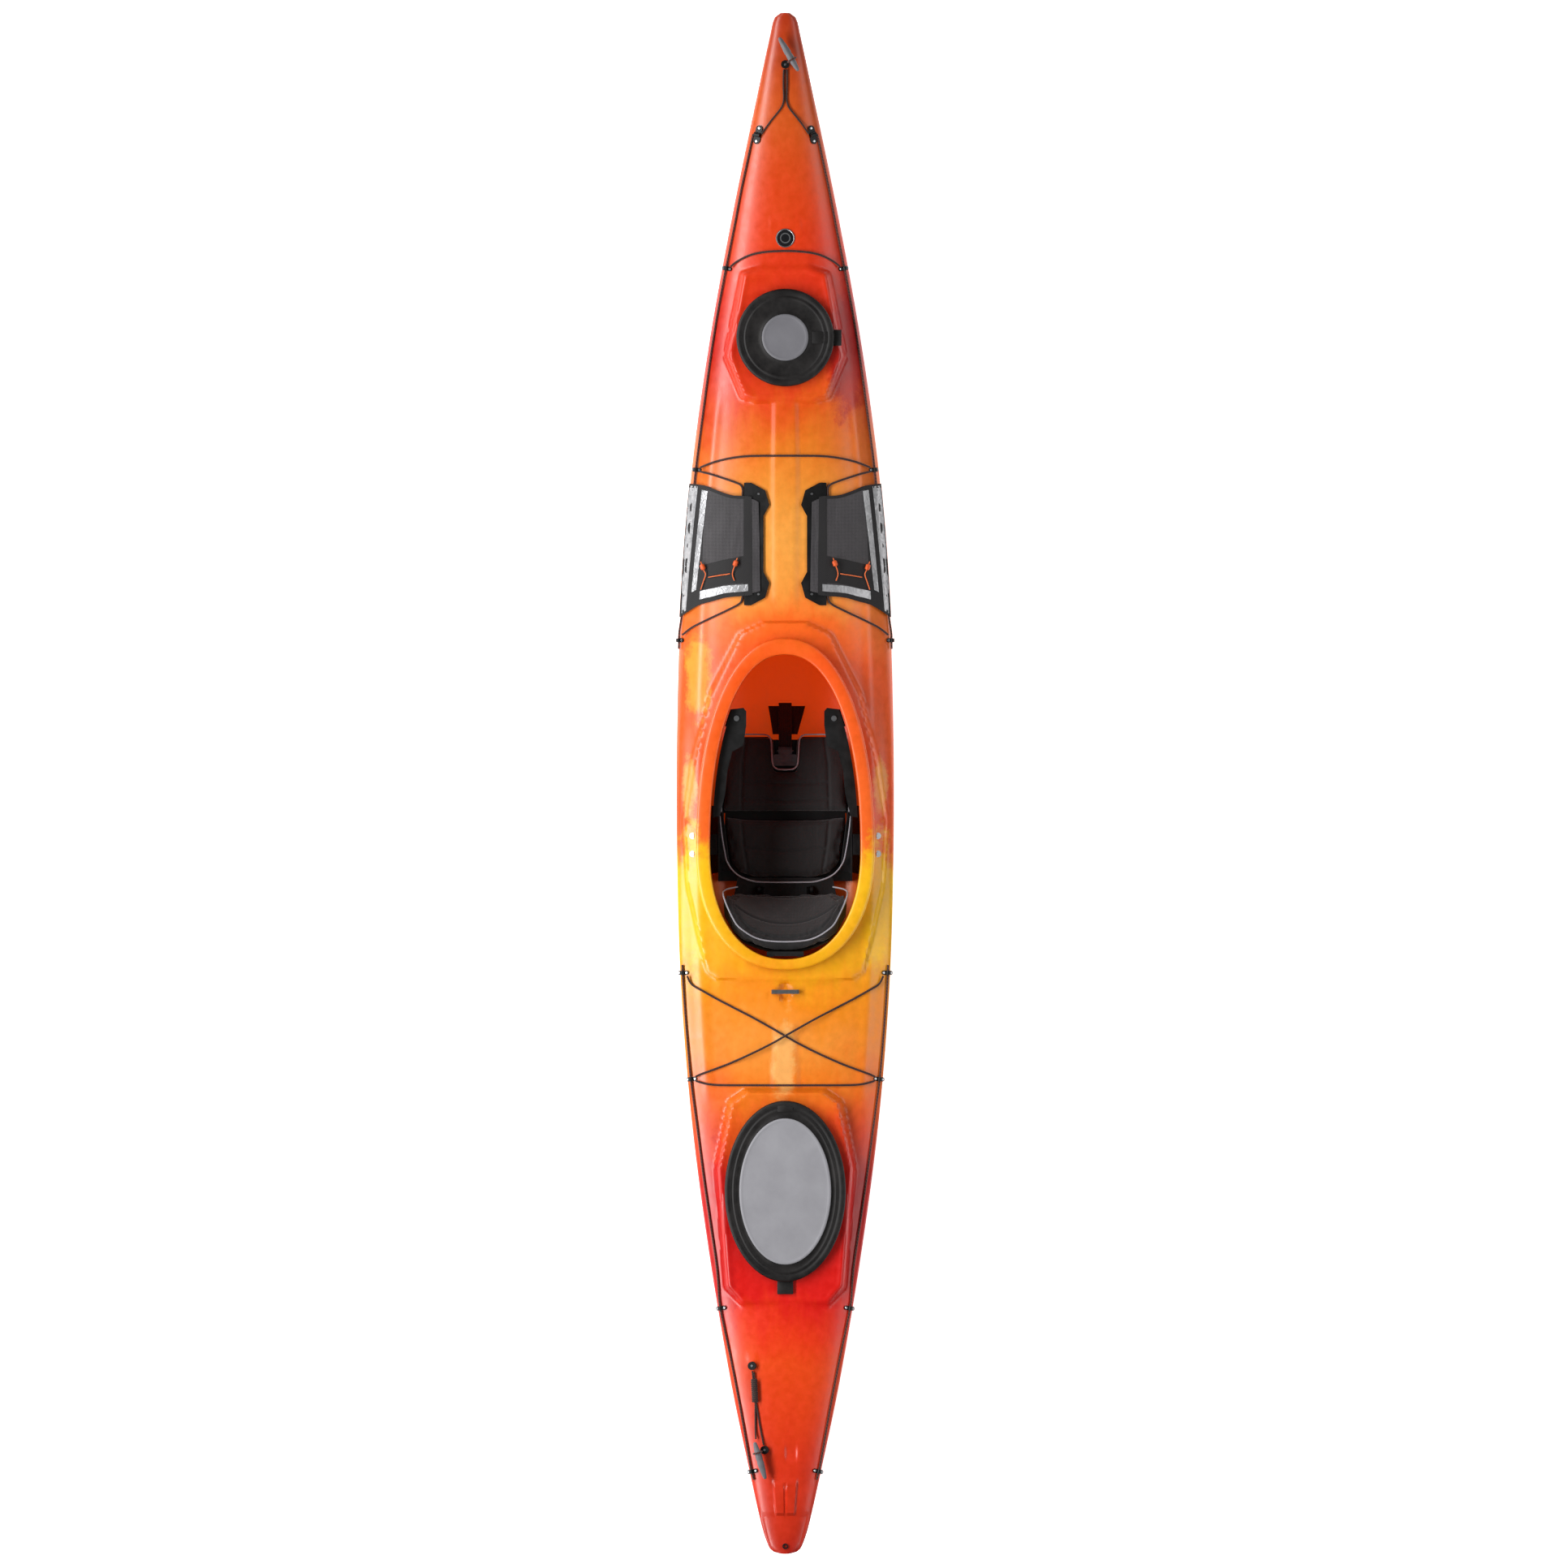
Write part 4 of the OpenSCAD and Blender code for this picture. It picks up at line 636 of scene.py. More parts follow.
def dressed(names, finish):
    """Gives CAD nodes whose shape is right a better finish."""
    for name in names:
        for holder in nodes[name].material_slots:
            holder.material = finish


dressed(["bow_bulkhead", "stern_bulkhead"], cell_foam)

# ---- Moulded nylon hardware --------------------------------------------------------------------
# Hatch rims, seat pan, hangers, backrest frame and bar, braces, rails, pedals and deck fittings:
# injection-moulded black nylon with a fine spark-eroded texture, paler where it is rubbed.

nylon, surface = new_finish("textured_black_nylon")
place = add(nylon, "ShaderNodeTexCoord").outputs["Object"]
# Spark-eroded grain, 1.2 mm across
grain = add(nylon, "ShaderNodeTexNoise", {"Vector": place, "Scale": 850.0, "Detail": 2.0})
rubbed = add(nylon, "ShaderNodeTexNoise", {
    "Vector": place, "Scale": 22.0, "Detail": 5.0, "Roughness": 0.65})
worn = add(nylon, "ShaderNodeMapRange", {
    "Value": rubbed.outputs["Fac"], "From Min": 0.45, "From Max": 0.8})
shade = add(nylon, "ShaderNodeMix", {
    0: worn.outputs[0], 6: linear("#0a0a0a"), 7: linear("#1a191a")}, data_type="RGBA")
rough = add(nylon, "ShaderNodeMapRange", {
    "Value": rubbed.outputs["Fac"], "From Min": 0.3, "From Max": 0.7, "To Min": 0.38, "To Max": 0.56})
dent = add(nylon, "ShaderNodeBump", {
    "Height": grain.outputs["Fac"], "Strength": 0.3, "Distance": 0.0003})
feed(surface, {
    "Base Color": shade.outputs[2], "Roughness": rough.outputs[0], "Normal": dent.outputs[0],
    "IOR": 1.53, "Specular IOR Level": 0.3})
dressed(["bow_hatch_rim", "stern_hatch_rim", "seat_pan", "seat_hangers", "leg_lifter_plate",
         "backrest_frame",
         "backrest_bar", "brace_brackets", "thigh_brace_port", "thigh_brace_starboard", "foot_rail_port",
         "foot_rail_starboard", "foot_pedal_port", "foot_pedal_starboard", "deck_fittings",
         "pouch_plates",
         "rudder_pin_sleeve"], nylon)

# ---- Stainless fastenings ----------------------------------------------------------------------
# Seat bolts, brace pivots, deck screws and the security bar: 316 stainless steel. The bar is
# brushed along its length, and the fastenings are turned, with a fine circular lay.

stainless, surface = new_finish("brushed_stainless_steel")
place = add(stainless, "ShaderNodeTexCoord").outputs["Object"]
# Brush lines drawn 0.8 mm apart so that they show
lay = add(stainless, "ShaderNodeTexNoise", {
    "Vector": add(stainless, "ShaderNodeMapping",
                  {"Vector": place, "Scale": (1200, 60, 400)}).outputs[0],
    "Scale": 1.0, "Detail": 3.0})
shade = add(stainless, "ShaderNodeMix", {
    0: lay.outputs["Fac"], 6: linear("#8f9194"), 7: linear("#c9cbcd")}, data_type="RGBA")
rough = add(stainless, "ShaderNodeMapRange", {
    "Value": lay.outputs["Fac"], "To Min": 0.22, "To Max": 0.42})
dent = add(stainless, "ShaderNodeBump", {
    "Height": lay.outputs["Fac"], "Strength": 0.15, "Distance": 0.0001})
feed(surface, {
    "Base Color": shade.outputs[2], "Roughness": rough.outputs[0], "Normal": dent.outputs[0],
    "Metallic": 1.0})
dressed(["seat_bolts", "brace_pivots", "fitting_screws", "security_bar", "security_bolts",
         "pouch_screws"], stainless)

# ---- Hatch lids --------------------------------------------------------------------------------
# Soft rubber lids that snap over the rims by hand, with a rolled edge, a moulded rib and a pull tab.
# A panel of grey ABS is bonded into the top of each to keep it flat.

LID_TOP = 24.3


def ring_stack(name, middle, flat_z, half_long, half_wide, profile, start_filled=True, points=96):
    """An oval moulding: a ring is drawn, extruded and resized along a profile of (inset, height)."""
    inset, height = profile[0]
    empty_selection()
    bpy.ops.mesh.primitive_circle_add(vertices=points, radius=1,
                                      fill_type="NGON" if start_filled else "NOTHING")
    piece = bpy.context.object
    piece.name = name
    bpy.ops.object.mode_set(mode="EDIT")
    bpy.ops.mesh.select_all(action="SELECT")
    size = [(half_long - inset) * MM, (half_wide - inset) * MM]
    bpy.ops.transform.resize(value=(size[0], size[1], 1), center_override=(0, 0, 0))
    for inset, height in profile[1:]:
        wanted = [(half_long - inset) * MM, (half_wide - inset) * MM]
        bpy.ops.mesh.extrude_edges_move()
        bpy.ops.transform.resize(
            value=(wanted[0] / size[0], wanted[1] / size[1], 1), center_override=(0, 0, 0))
        size = wanted
    bpy.ops.mesh.edge_face_add()
    bpy.ops.object.mode_set(mode="OBJECT")
    for i, v in enumerate(piece.data.vertices):
        v.co.z = (flat_z + profile[i // points][1]) * MM
        v.co.x += middle * MM
    settle_normals(piece, 0.000001)
    return piece


def tab(name, x, y, z, long, wide, height, yaw=0.0):
    """A rounded moulded tongue: a block with its corners bevelled, then its edges eased."""
    empty_selection()
    bpy.ops.mesh.primitive_cube_add(size=1)
    piece = bpy.context.object
    piece.name = name
    for v in piece.data.vertices:
        v.co = Vector((v.co.x * long, v.co.y * wide, (v.co.z + 0.5) * height)) * MM
    only(piece)
    bpy.ops.object.mode_set(mode="EDIT")
    bpy.ops.mesh.select_all(action="DESELECT")
    edit = bmesh.from_edit_mesh(piece.data)
    for e in edit.edges:
        e.select = abs(e.verts[0].co.z - e.verts[1].co.z) > 1e-6
    bmesh.update_edit_mesh(piece.data)
    bpy.ops.mesh.bevel(offset=min(long, wide) * 0.3 * MM, segments=4, affect="EDGES")
    bpy.ops.mesh.select_all(action="SELECT")
    bpy.ops.object.mode_set(mode="OBJECT")
    ease = piece.modifiers.new("ease", "BEVEL")
    ease.width = min(1.2, height * 0.3) * MM
    ease.segments = 2
    ease.limit_method = "ANGLE"
    apply_all(piece)
    piece.data.transform(Matrix.Translation(Vector((x, y, z)) * MM) @ Matrix.Rotation(yaw, 4, "Z"))
    return piece


def joined(name, parts):
    """Makes one piece of several."""
    empty_selection()
    for part in parts:
        part.select_set(True)
    bpy.context.view_layer.objects.active = parts[0]
    if len(parts) > 1:
        bpy.ops.object.join()
    parts[0].name = name
    return parts[0]


rubber, surface = new_finish("moulded_epdm_rubber")
place = add(rubber, "ShaderNodeTexCoord").outputs["Object"]
# Pale bloom that rubber grows in the sun, and a skin grain of 1.5 mm
bloom = add(rubber, "ShaderNodeTexNoise", {
    "Vector": place, "Scale": 16.0, "Detail": 6.0, "Roughness": 0.7})
bloomed = add(rubber, "ShaderNodeMapRange", {
    "Value": bloom.outputs["Fac"], "From Min": 0.4, "From Max": 0.85})
shade = add(rubber, "ShaderNodeMix", {
    0: bloomed.outputs[0], 6: linear("#0b0808"), 7: linear("#2b2827")}, data_type="RGBA")
skin = add(rubber, "ShaderNodeTexNoise", {"Vector": place, "Scale": 650.0, "Detail": 2.0})
dent = add(rubber, "ShaderNodeBump", {
    "Height": skin.outputs["Fac"], "Strength": 0.25, "Distance": 0.0003})
rough = add(rubber, "ShaderNodeMapRange", {
    "Value": bloom.outputs["Fac"], "To Min": 0.36, "To Max": 0.66})
feed(surface, {
    "Base Color": shade.outputs[2], "Roughness": rough.outputs[0], "Normal": dent.outputs[0],
    "IOR": 1.52, "Specular IOR Level": 0.35})

# Under the top, down inside the skirt, round its foot, and over the rolled edge to the rib
LID_PROFILE = [(6.2, 20.3), (6.0, 19.6), (6.0, 3), (1.2, 3), (.3, 4.2), (0, 7), (0, 17), (.6, 20.2),
               (2.4, 23), (5.2, 24.3), (12, 24.3), (16, 23.2), (19, 21.9), (21.5, 21.9), (24, 23.4),
               (27, 23.8),
               (30, 22.6), (33, 21.8)]
bow_lid = ring_stack("bow_hatch_cover", BOW_HATCH_X, BOW_FLAT_Z, 140, 140,
                     LID_PROFILE + [(48, 21.6), (60, 21.8), (68, 22.6), (71, 24.2), (74, 24.3)])
bow_grip = tab("bow_grip", BOW_HATCH_X, -108, BOW_FLAT_Z + 20.2, 34, 62, 2.6)
bow_tab = tab("bow_tab", BOW_HATCH_X, -148.5, BOW_FLAT_Z + 3, 46, 26, 6)
round_shading(bow_lid, 50)
round_shading(bow_tab, 40)
round_shading(bow_grip, 40)
bow_lid = joined("bow_hatch_cover", [bow_lid, bow_grip, bow_tab])
finished(bow_lid, rubber, "bow_hatch", "hatch_rubber", "bow_hatch_lid")
stern_lid = ring_stack("stern_hatch_cover", STERN_HATCH_X, STERN_FLAT_Z, 260, 174,
                       LID_PROFILE + [(38, 21.6), (42, 22.2), (46, 23.4), (52, 24.1), (60, 24.3)])
stern_tab = tab("stern_tab", STERN_HATCH_X - 276, 0, STERN_FLAT_Z + 3, 40, 46, 6)
stern_grip = tab("stern_grip", STERN_HATCH_X + 238, 0, STERN_FLAT_Z + 21.5, 20, 44, 2.6)
round_shading(stern_lid, 50)
round_shading(stern_tab, 40)
round_shading(stern_grip, 40)
stern_lid = joined("stern_hatch_cover", [stern_lid, stern_grip, stern_tab])
finished(stern_lid, rubber, "stern_hatch", "hatch_rubber", "stern_hatch_lid")

abs_panel, surface = new_finish("satin_grey_abs")
place = add(abs_panel, "ShaderNodeTexCoord").outputs["Object"]
cloud = add(abs_panel, "ShaderNodeTexNoise", {
    "Vector": place, "Scale": 12.0, "Detail": 5.0, "Roughness": 0.6})
shade = add(abs_panel, "ShaderNodeMix", {
    0: cloud.outputs["Fac"], 6: linear("#7b7a7e"), 7: linear("#9b9a9e")}, data_type="RGBA")
# Etched mould texture, 1.4 mm
etch = add(abs_panel, "ShaderNodeTexNoise", {"Vector": place, "Scale": 700.0, "Detail": 1.0})
dent = add(abs_panel, "ShaderNodeBump", {
    "Height": etch.outputs["Fac"], "Strength": 0.3, "Distance": 0.0002})
rough = add(abs_panel, "ShaderNodeMapRange", {
    "Value": cloud.outputs["Fac"], "To Min": 0.42, "To Max": 0.6})
feed(surface, {
    "Base Color": shade.outputs[2], "Roughness": rough.outputs[0], "Normal": dent.outputs[0],
    "IOR": 1.54})

PANEL_PROFILE = [(0, 0), (0, 1.4), (.6, 2.5), (2, 3.3), (4.5, 3.7), (7.5, 3.6), (9, 3.1), (10.5, 2.9),
                 (20, 3.0)]
for name, x, z, a, b, body_name, node, tones in [
        ("bow_cover_panel", BOW_HATCH_X, BOW_FLAT_Z, 67, 67, "bow_hatch", "bow_lid_panel",
         ("#66656a", "#7c7b80")),
        ("stern_cover_panel", STERN_HATCH_X, STERN_FLAT_Z, 210, 132, "stern_hatch", "stern_lid_panel",
         ("#87868b", "#a3a2a7"))]:
    panel = ring_stack(name, x, z + LID_TOP, a, b, PANEL_PROFILE)
    round_shading(panel, 50)
    # The small bow panel is of a darker batch than the stern one
    batch = abs_panel.copy()
    batch.name = f"satin_grey_abs_{body_name}"
    tint = next(n for n in batch.node_tree.nodes if n.type == "MIX")
    tint.inputs[6].default_value, tint.inputs[7].default_value = map(linear, tones)
    finished(panel, batch, body_name, "hatch_grey", node)

# ---- Seat pads ---------------------------------------------------------------------------------
# Foam under a cover of black woven polyester, edged with grey piping. The covers are cut a little
# small, so the foam fills them tight and the panels crown between their sewn channels.

SIM_FRAMES = 20
# Sewn channels in the covers, and the piping along their edges
CHANNEL_DEEP, CHANNEL_WIDE, PIPING_D = 4.0, 4.5, 4.5


def stuffed(name, node, inset, cap, voxel=0.005, channels=None):
    """A cover blown up from the CAD solid's shape, held to it by a cap on each point's travel."""
    low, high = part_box(node)
    middle, size = (low + high) / 2, high - low
    cover = bpy.data.objects.new(name, nodes[node].data.copy())
    scene.collection.objects.link(cover)
    cover.data.materials.clear()
    for v in cover.data.vertices:
        for k in range(3):
            v.co[k] = middle[k] + (v.co[k] - middle[k]) * (1 - 2 * inset / size[k])
    settle_normals(cover, 0.0002)
    skin = cover.modifiers.new("skin", "REMESH")
    skin.mode = "VOXEL"
    skin.voxel_size = voxel
    apply_all(cover)
    rest = [v.co.copy() for v in cover.data.vertices]
    cloth = cover.modifiers.new("cover", "CLOTH")
    cloth.settings.quality = 5
    cloth.settings.mass = 0.3
    cloth.settings.tension_stiffness = cloth.settings.compression_stiffness = 12
    cloth.settings.bending_stiffness = 0.4
    cloth.settings.use_pressure = True
    cloth.settings.uniform_pressure_force = 4
    cloth.settings.effector_weights.gravity = 0
    cloth.point_cache.frame_start, cloth.point_cache.frame_end = 1, SIM_FRAMES
    for step in range(1, SIM_FRAMES + 1):
        scene.frame_set(step)
    apply_all(cover)
    scene.frame_set(1)
    for v, at in zip(cover.data.vertices, rest):
        way = v.co - at
        if way.length > cap:
            v.co = at + way * (cap / way.length)
    finer = cover.modifiers.new("finer", "SUBSURF")
    finer.levels = finer.render_levels = 1
    apply_all(cover)
    if channels:
        cover.data.update()
        for v in cover.data.vertices:
            depth = channels(v.co / MM, v.normal)
            if depth:
                v.co -= v.normal * depth * MM
    cover.data.update()
    only(cover)
    bpy.ops.object.shade_smooth()
    return cover


def near_line(x, y, route, width):
    """How deep a sewn channel is at a place: 1 on the line, 0 outside its width."""
    nearest = min(
        math.hypot(x - mix(a[0], b[0], s), y - mix(a[1], b[1], s))
        for a, b in zip(route, route[1:])
        for s in [min(max(((x - a[0]) * (b[0] - a[0]) + (y - a[1]) * (b[1] - a[1]))
                          / ((b[0] - a[0]) ** 2 + (b[1] - a[1]) ** 2), 0), 1)])
    return math.exp(-(nearest / width) ** 2)


woven, surface = new_finish("woven_polyester_cover")
place = add(woven, "ShaderNodeTexCoord").outputs["Object"]
# Threads 1.6 mm apart, drawn by two crossed waves
threads = []
for turn, (wave_dir, phase) in enumerate((("X", 0.0), ("Y", 1.6))):
    thread = add(woven, "ShaderNodeTexWave", {
        "Vector": place, "Scale": 98.0, "Distortion": 0.25, "Phase Offset": phase},
        bands_direction=wave_dir)
    threads.append(thread.outputs["Fac"])
weave = add(woven, "ShaderNodeMath", {0: threads[0], 1: threads[1]}, operation="MAXIMUM")
dust = add(woven, "ShaderNodeTexNoise", {
    "Vector": place, "Scale": 30.0, "Detail": 6.0, "Roughness": 0.7})
ground = add(woven, "ShaderNodeMix", {
    0: dust.outputs["Fac"], 6: linear("#090708"), 7: linear("#1d1a1c")}, data_type="RGBA")
lit = add(woven, "ShaderNodeMix", {
    0: weave.outputs[0], 6: linear("#050405"), 7: ground.outputs[2]}, data_type="RGBA")
creases = add(woven, "ShaderNodeTexNoise", {
    "Vector": add(woven, "ShaderNodeMapping", {"Vector": place, "Scale": (14, 30, 20)}).outputs[0],
    "Scale": 1.0, "Detail": 3.0})
crease_bump = add(woven, "ShaderNodeBump", {
    "Height": creases.outputs["Fac"], "Strength": 0.6, "Distance": 0.006})
weave_bump = add(woven, "ShaderNodeBump", {
    "Height": weave.outputs[0], "Strength": 0.6, "Distance": 0.0005, "Normal": crease_bump.outputs[0]})
feed(surface, {
    "Base Color": lit.outputs[2], "Normal": weave_bump.outputs[0], "Roughness": 0.82,
    "Sheen Weight": 0.18, "Sheen Roughness": 0.5})

SEAT_SIDE_SEAMS = [[(-88, 128 * s), (-170, 122 * s), (-282, 104 * s)] for s in (1, -1)]
LIFTER_SIDE_SEAMS = [[(144, 112 * s), (60, 124 * s), (-90, 128 * s)] for s in (1, -1)]
LIFTER_CROSS_SEAMS = [[(x, -124), (x - 6, 0), (x, 124)] for x in (6, -42)]


def seat_channels(p, normal):
    if normal.z < 0.2:
        return 0
    deep = sum(near_line(p.x, p.y, seam, CHANNEL_WIDE) for seam in SEAT_SIDE_SEAMS)
    deep += near_line(p.x, p.y, [(-186, -112), (-196, 0), (-186, 112)], CHANNEL_WIDE)
    return CHANNEL_DEEP * min(deep, 1) * normal.z


def lifter_channels(p, normal):
    if normal.z < 0.2:
        return 0
    deep = sum(near_line(p.x, p.y, seam,
                         CHANNEL_WIDE) for seam in LIFTER_SIDE_SEAMS + LIFTER_CROSS_SEAMS)
    return CHANNEL_DEEP * min(deep, 1) * normal.z


# How much smaller the cover is cut than the CAD solid, and how far it may swell, in metres
seat_pad = stuffed("seat_base_pad", "seat_cushion", 0.006, 0.009, channels=seat_channels)
finished(seat_pad, woven, "boat", "seat_fabric", "seat_cushion")
lifter_pad = stuffed("leg_lifter_cushion", "leg_lifter_pad", 0.005, 0.008, channels=lifter_channels)
finished(lifter_pad, woven, "leg_lifter", "seat_fabric", "leg_lifter_pad")

# ---- Backrest pad ------------------------------------------------------------------------------
# A curved foam pad in the same cover, wrapped to the nylon frame and tilted back on its pivots.

BACK_PIVOT = Vector((-306, 0, 78))
BACK_TILT, BACK_CENTRE, PIPE_R = 35, 204, 197
BACK_TURN = Matrix.Rotation(math.radians(-BACK_TILT), 3, "Y")
BACK_EDGE = [(60, 30), (138, 74), (172, 150), (178, 196), (154, 242), (126, 267), (60, 272)]


def back_point(r, y, up):
    """A point of the backrest: radius of its curve, place across, and height up it."""
    return BACK_PIVOT + BACK_TURN @ Vector((BACK_CENTRE - math.sqrt(r * r - y * y), y, up))


def back_channels(p, normal):
    local = BACK_TURN.inverted() @ (Vector(p) - BACK_PIVOT)
    front = math.hypot(BACK_CENTRE - local.x, local.y)
    if front > 214:
        return 0
    inner = [(y * 0.84, mix(160, up, 0.80)) for y, up in BACK_EDGE]
    route = [(y, up) for y, up in inner] + [(-y, up) for y, up in reversed(inner)]
    deep = near_line(local.y, local.z, route + route[:1], CHANNEL_WIDE)
    deep += near_line(local.y, local.z, [(-140, 186), (140, 186)], CHANNEL_WIDE)
    return CHANNEL_DEEP * min(deep, 1)


back_pad = stuffed("backrest_pad", "backrest_cushion", 0.005, 0.008, channels=back_channels)
finished(back_pad, woven, "backrest", "seat_fabric", "backrest_cushion")

# ---- Piping and seat webbing -------------------------------------------------------------------
# Grey piping is sewn into the edges of the pads. A black webbing strap runs from the leg lifter's
# buckle down to the floor, over a wider reinforcing patch.


def fair_route(points, per_span=6, closed=False):
    """More points on a smooth curve through a route."""
    points = [Vector(p) for p in points]
    n = len(points)
    out = []
    for i in range(n if closed else n - 1):
        if closed:
            a, b, c, d = (points[(i + k) % n] for k in (-1, 0, 1, 2))
        else:
            a, b, c, d = (points[min(max(i + k, 0), n - 1)] for k in (-1, 0, 1, 2))
        for k in range(per_span):
            t = k / per_span
            out.append(0.5 * ((2 * b) + (c - a) * t + (2 * a - 5 * b + 4 * c - d) * t ** 2
                              + (3 * b - a - 3 * c + d) * t ** 3))
    if not closed:
        out.append(points[-1])
    return out


def round_cord(name, route, diameter, sides=10, closed=False):
    """A round cord along a route in millimetres, with its own length and girth as its UV map."""
    route = [Vector(p) * MM for p in route]
    r = diameter / 2 * MM
    n = len(route)
    mesh = bpy.data.meshes.new(name)
    points, along = [], [0]
    normal = None
    for i in range(n):
        ahead = route[(i + 1) % n] if closed else route[min(i + 1, n - 1)]
        behind = route[i - 1] if closed else route[max(i - 1, 0)]
        way = (ahead - behind).normalized()
        if normal is None:
            normal = way.cross(Vector((0, 0.001, 1))).normalized()
        normal = (normal - way * normal.dot(way)).normalized()
        second = way.cross(normal)
        for k in range(sides):
            a = 2 * math.pi * k / sides
            points.append(route[i] + r * (math.cos(a) * normal + math.sin(a) * second))
        if i:
            along.append(along[-1] + (route[i] - route[i - 1]).length)
    along.append(along[-1] + (route[0] - route[-1]).length)
    faces, uvs = [], []
    for i in range(n if closed else n - 1):
        for k in range(sides):
            j, m = (k + 1) % sides, (i + 1) % n
            faces.append((i * sides + k, i * sides + j, m * sides + j, m * sides + k))
            uvs += [(along[i], k / sides), (along[i], (k + 1) / sides),
                    (along[i + 1], (k + 1) / sides), (along[i + 1], k / sides)]
    if not closed:
        faces.append(tuple(range(sides - 1, -1, -1)))
        faces.append(tuple(range((n - 1) * sides, n * sides)))
        uvs += [(0, k / sides) for k in range(sides - 1, -1, -1)] + [(along[n - 1],
                                                                      k / sides) for k in range(sides)]
    mesh.from_pydata(points, [], faces)
    layer = mesh.uv_layers.new(name="cord")
    for loop, uv in zip(layer.data, uvs):
        loop.uv = uv
    piece = bpy.data.objects.new(name, mesh)
    scene.collection.objects.link(piece)
    only(piece)
    bpy.ops.object.shade_smooth()
    return piece


def cord_finish(name, dark, light, tracer, pitch, share):
    """A braid: two sets of strands wound against each other, with a tracer thread in some of them."""
    finish, shader = new_finish(name)
    uv = add(finish, "ShaderNodeUVMap", uv_map="cord").outputs[0]
    parts = add(finish, "ShaderNodeSeparateXYZ", {0: uv})
    turns = []
    for hand in (1, -1):
        wound = add(finish, "ShaderNodeMath", {
            0: parts.outputs["X"], 1: 1 / pitch}, operation="MULTIPLY")
        lead = add(finish, "ShaderNodeMath", {
            0: parts.outputs["Y"], 1: 4.0 * hand, 2: wound.outputs[0]}, operation="MULTIPLY_ADD")
        saw = add(finish, "ShaderNodeMath", {0: lead.outputs[0], 1: 1.0}, operation="PINGPONG")
        turns.append(saw.outputs[0])
    over = add(finish, "ShaderNodeMath", {0: turns[0], 1: turns[1]}, operation="MAXIMUM")
    strand = add(finish, "ShaderNodeMix", {
        0: over.outputs[0], 6: linear(dark), 7: linear(light)}, data_type="RGBA")
    fleck = add(finish, "ShaderNodeMath", {0: turns[0], 1: 1 - share}, operation="GREATER_THAN")
    flecked = add(finish, "ShaderNodeMix", {
        0: fleck.outputs[0], 6: strand.outputs[2], 7: linear(tracer)}, data_type="RGBA")
    dent = add(finish, "ShaderNodeBump", {
        "Height": over.outputs[0], "Strength": 0.7, "Distance": 0.0005})
    feed(shader, {
        "Base Color": flecked.outputs[2], "Normal": dent.outputs[0], "Roughness": 0.7,
        "Sheen Weight": 0.2})
    return finish


# Piping of knitted polyester over a cord
piping = cord_finish("knitted_grey_piping", "#6b6870", "#a9a7ae", "#a9a7ae", 0.0022, 0.0)
half = [(-92, 190, 86), (-140, 185, 93), (-190, 177, 95), (-228, 167, 95), (-262, 139, 95),
        (-281, 92, 94), (-284, 40, 94)]
route = half + [(x, -y, z) for x, y, z in reversed(half)]
seat_piping = round_cord("seat_piping", fair_route(route), PIPING_D)
finished(seat_piping, piping, "boat", "seat_fabric")
half = [(-80, 186, 92), (0, 183, 94), (60, 179, 94), (108, 165, 94), (134, 145, 94), (144, 120, 93),
        (145, 84, 92),
        (143, 54, 92), (130, 42, 93), (90, 39, 95), (58, 36, 95), (45, 24, 95), (43, 8, 95)]
route = half + [(x, -y, z) for x, y, z in reversed(half)]
lifter_piping = round_cord("leg_lifter_piping", fair_route(route), PIPING_D)
finished(lifter_piping, piping, "leg_lifter", "seat_fabric")
top_edge = [(y, up) for y, up in BACK_EDGE[1:]]
route = [back_point(PIPE_R, y, up) for y, up in top_edge] + [
    back_point(PIPE_R, -y, up) for y, up in reversed(top_edge)]
back_piping = round_cord("backrest_piping", fair_route(route), PIPING_D)
finished(back_piping, piping, "backrest", "seat_fabric")


def flat_strap(name, route, width, thickness, across=(0, 1, 0)):
    """A flat strap along a route in millimetres, woven lengthwise on its UV map."""
    route = [Vector(p) * MM for p in route]
    across = Vector(across).normalized() * width / 2 * MM
    mesh = bpy.data.meshes.new(name)
    points, faces, uvs, run = [], [], [], 0
    for i, p in enumerate(route):
        points += [p - across, p - across * 0.5, p, p + across * 0.5, p + across]
    for i in range(len(route) - 1):
        step = (route[i + 1] - route[i]).length
        for k in range(4):
            faces.append((i * 5 + k, i * 5 + 5 + k, i * 5 + 6 + k, i * 5 + 1 + k))
            uvs += [(run, k / 4 * width * MM), (run + step, k / 4 * width * MM),
                    (run + step, (k + 1) / 4 * width * MM), (run, (k + 1) / 4 * width * MM)]
        run += step
    mesh.from_pydata(points, [], faces)
    layer = mesh.uv_layers.new(name="cord")
    for loop, uv in zip(layer.data, uvs):
        loop.uv = uv
    piece = bpy.data.objects.new(name, mesh)
    scene.collection.objects.link(piece)
    wall = piece.modifiers.new("thick", "SOLIDIFY")
    wall.thickness = thickness * MM
    wall.offset = 0
    ease = piece.modifiers.new("ease", "BEVEL")
    ease.width = thickness * 0.3 * MM
    ease.segments = 2
    ease.limit_method = "ANGLE"
    ease.angle_limit = math.radians(50)
    apply_all(piece)
    round_shading(piece, 40)
    return piece


webbing, surface = new_finish("polyester_webbing")
uv = add(webbing, "ShaderNodeUVMap", uv_map="cord").outputs[0]
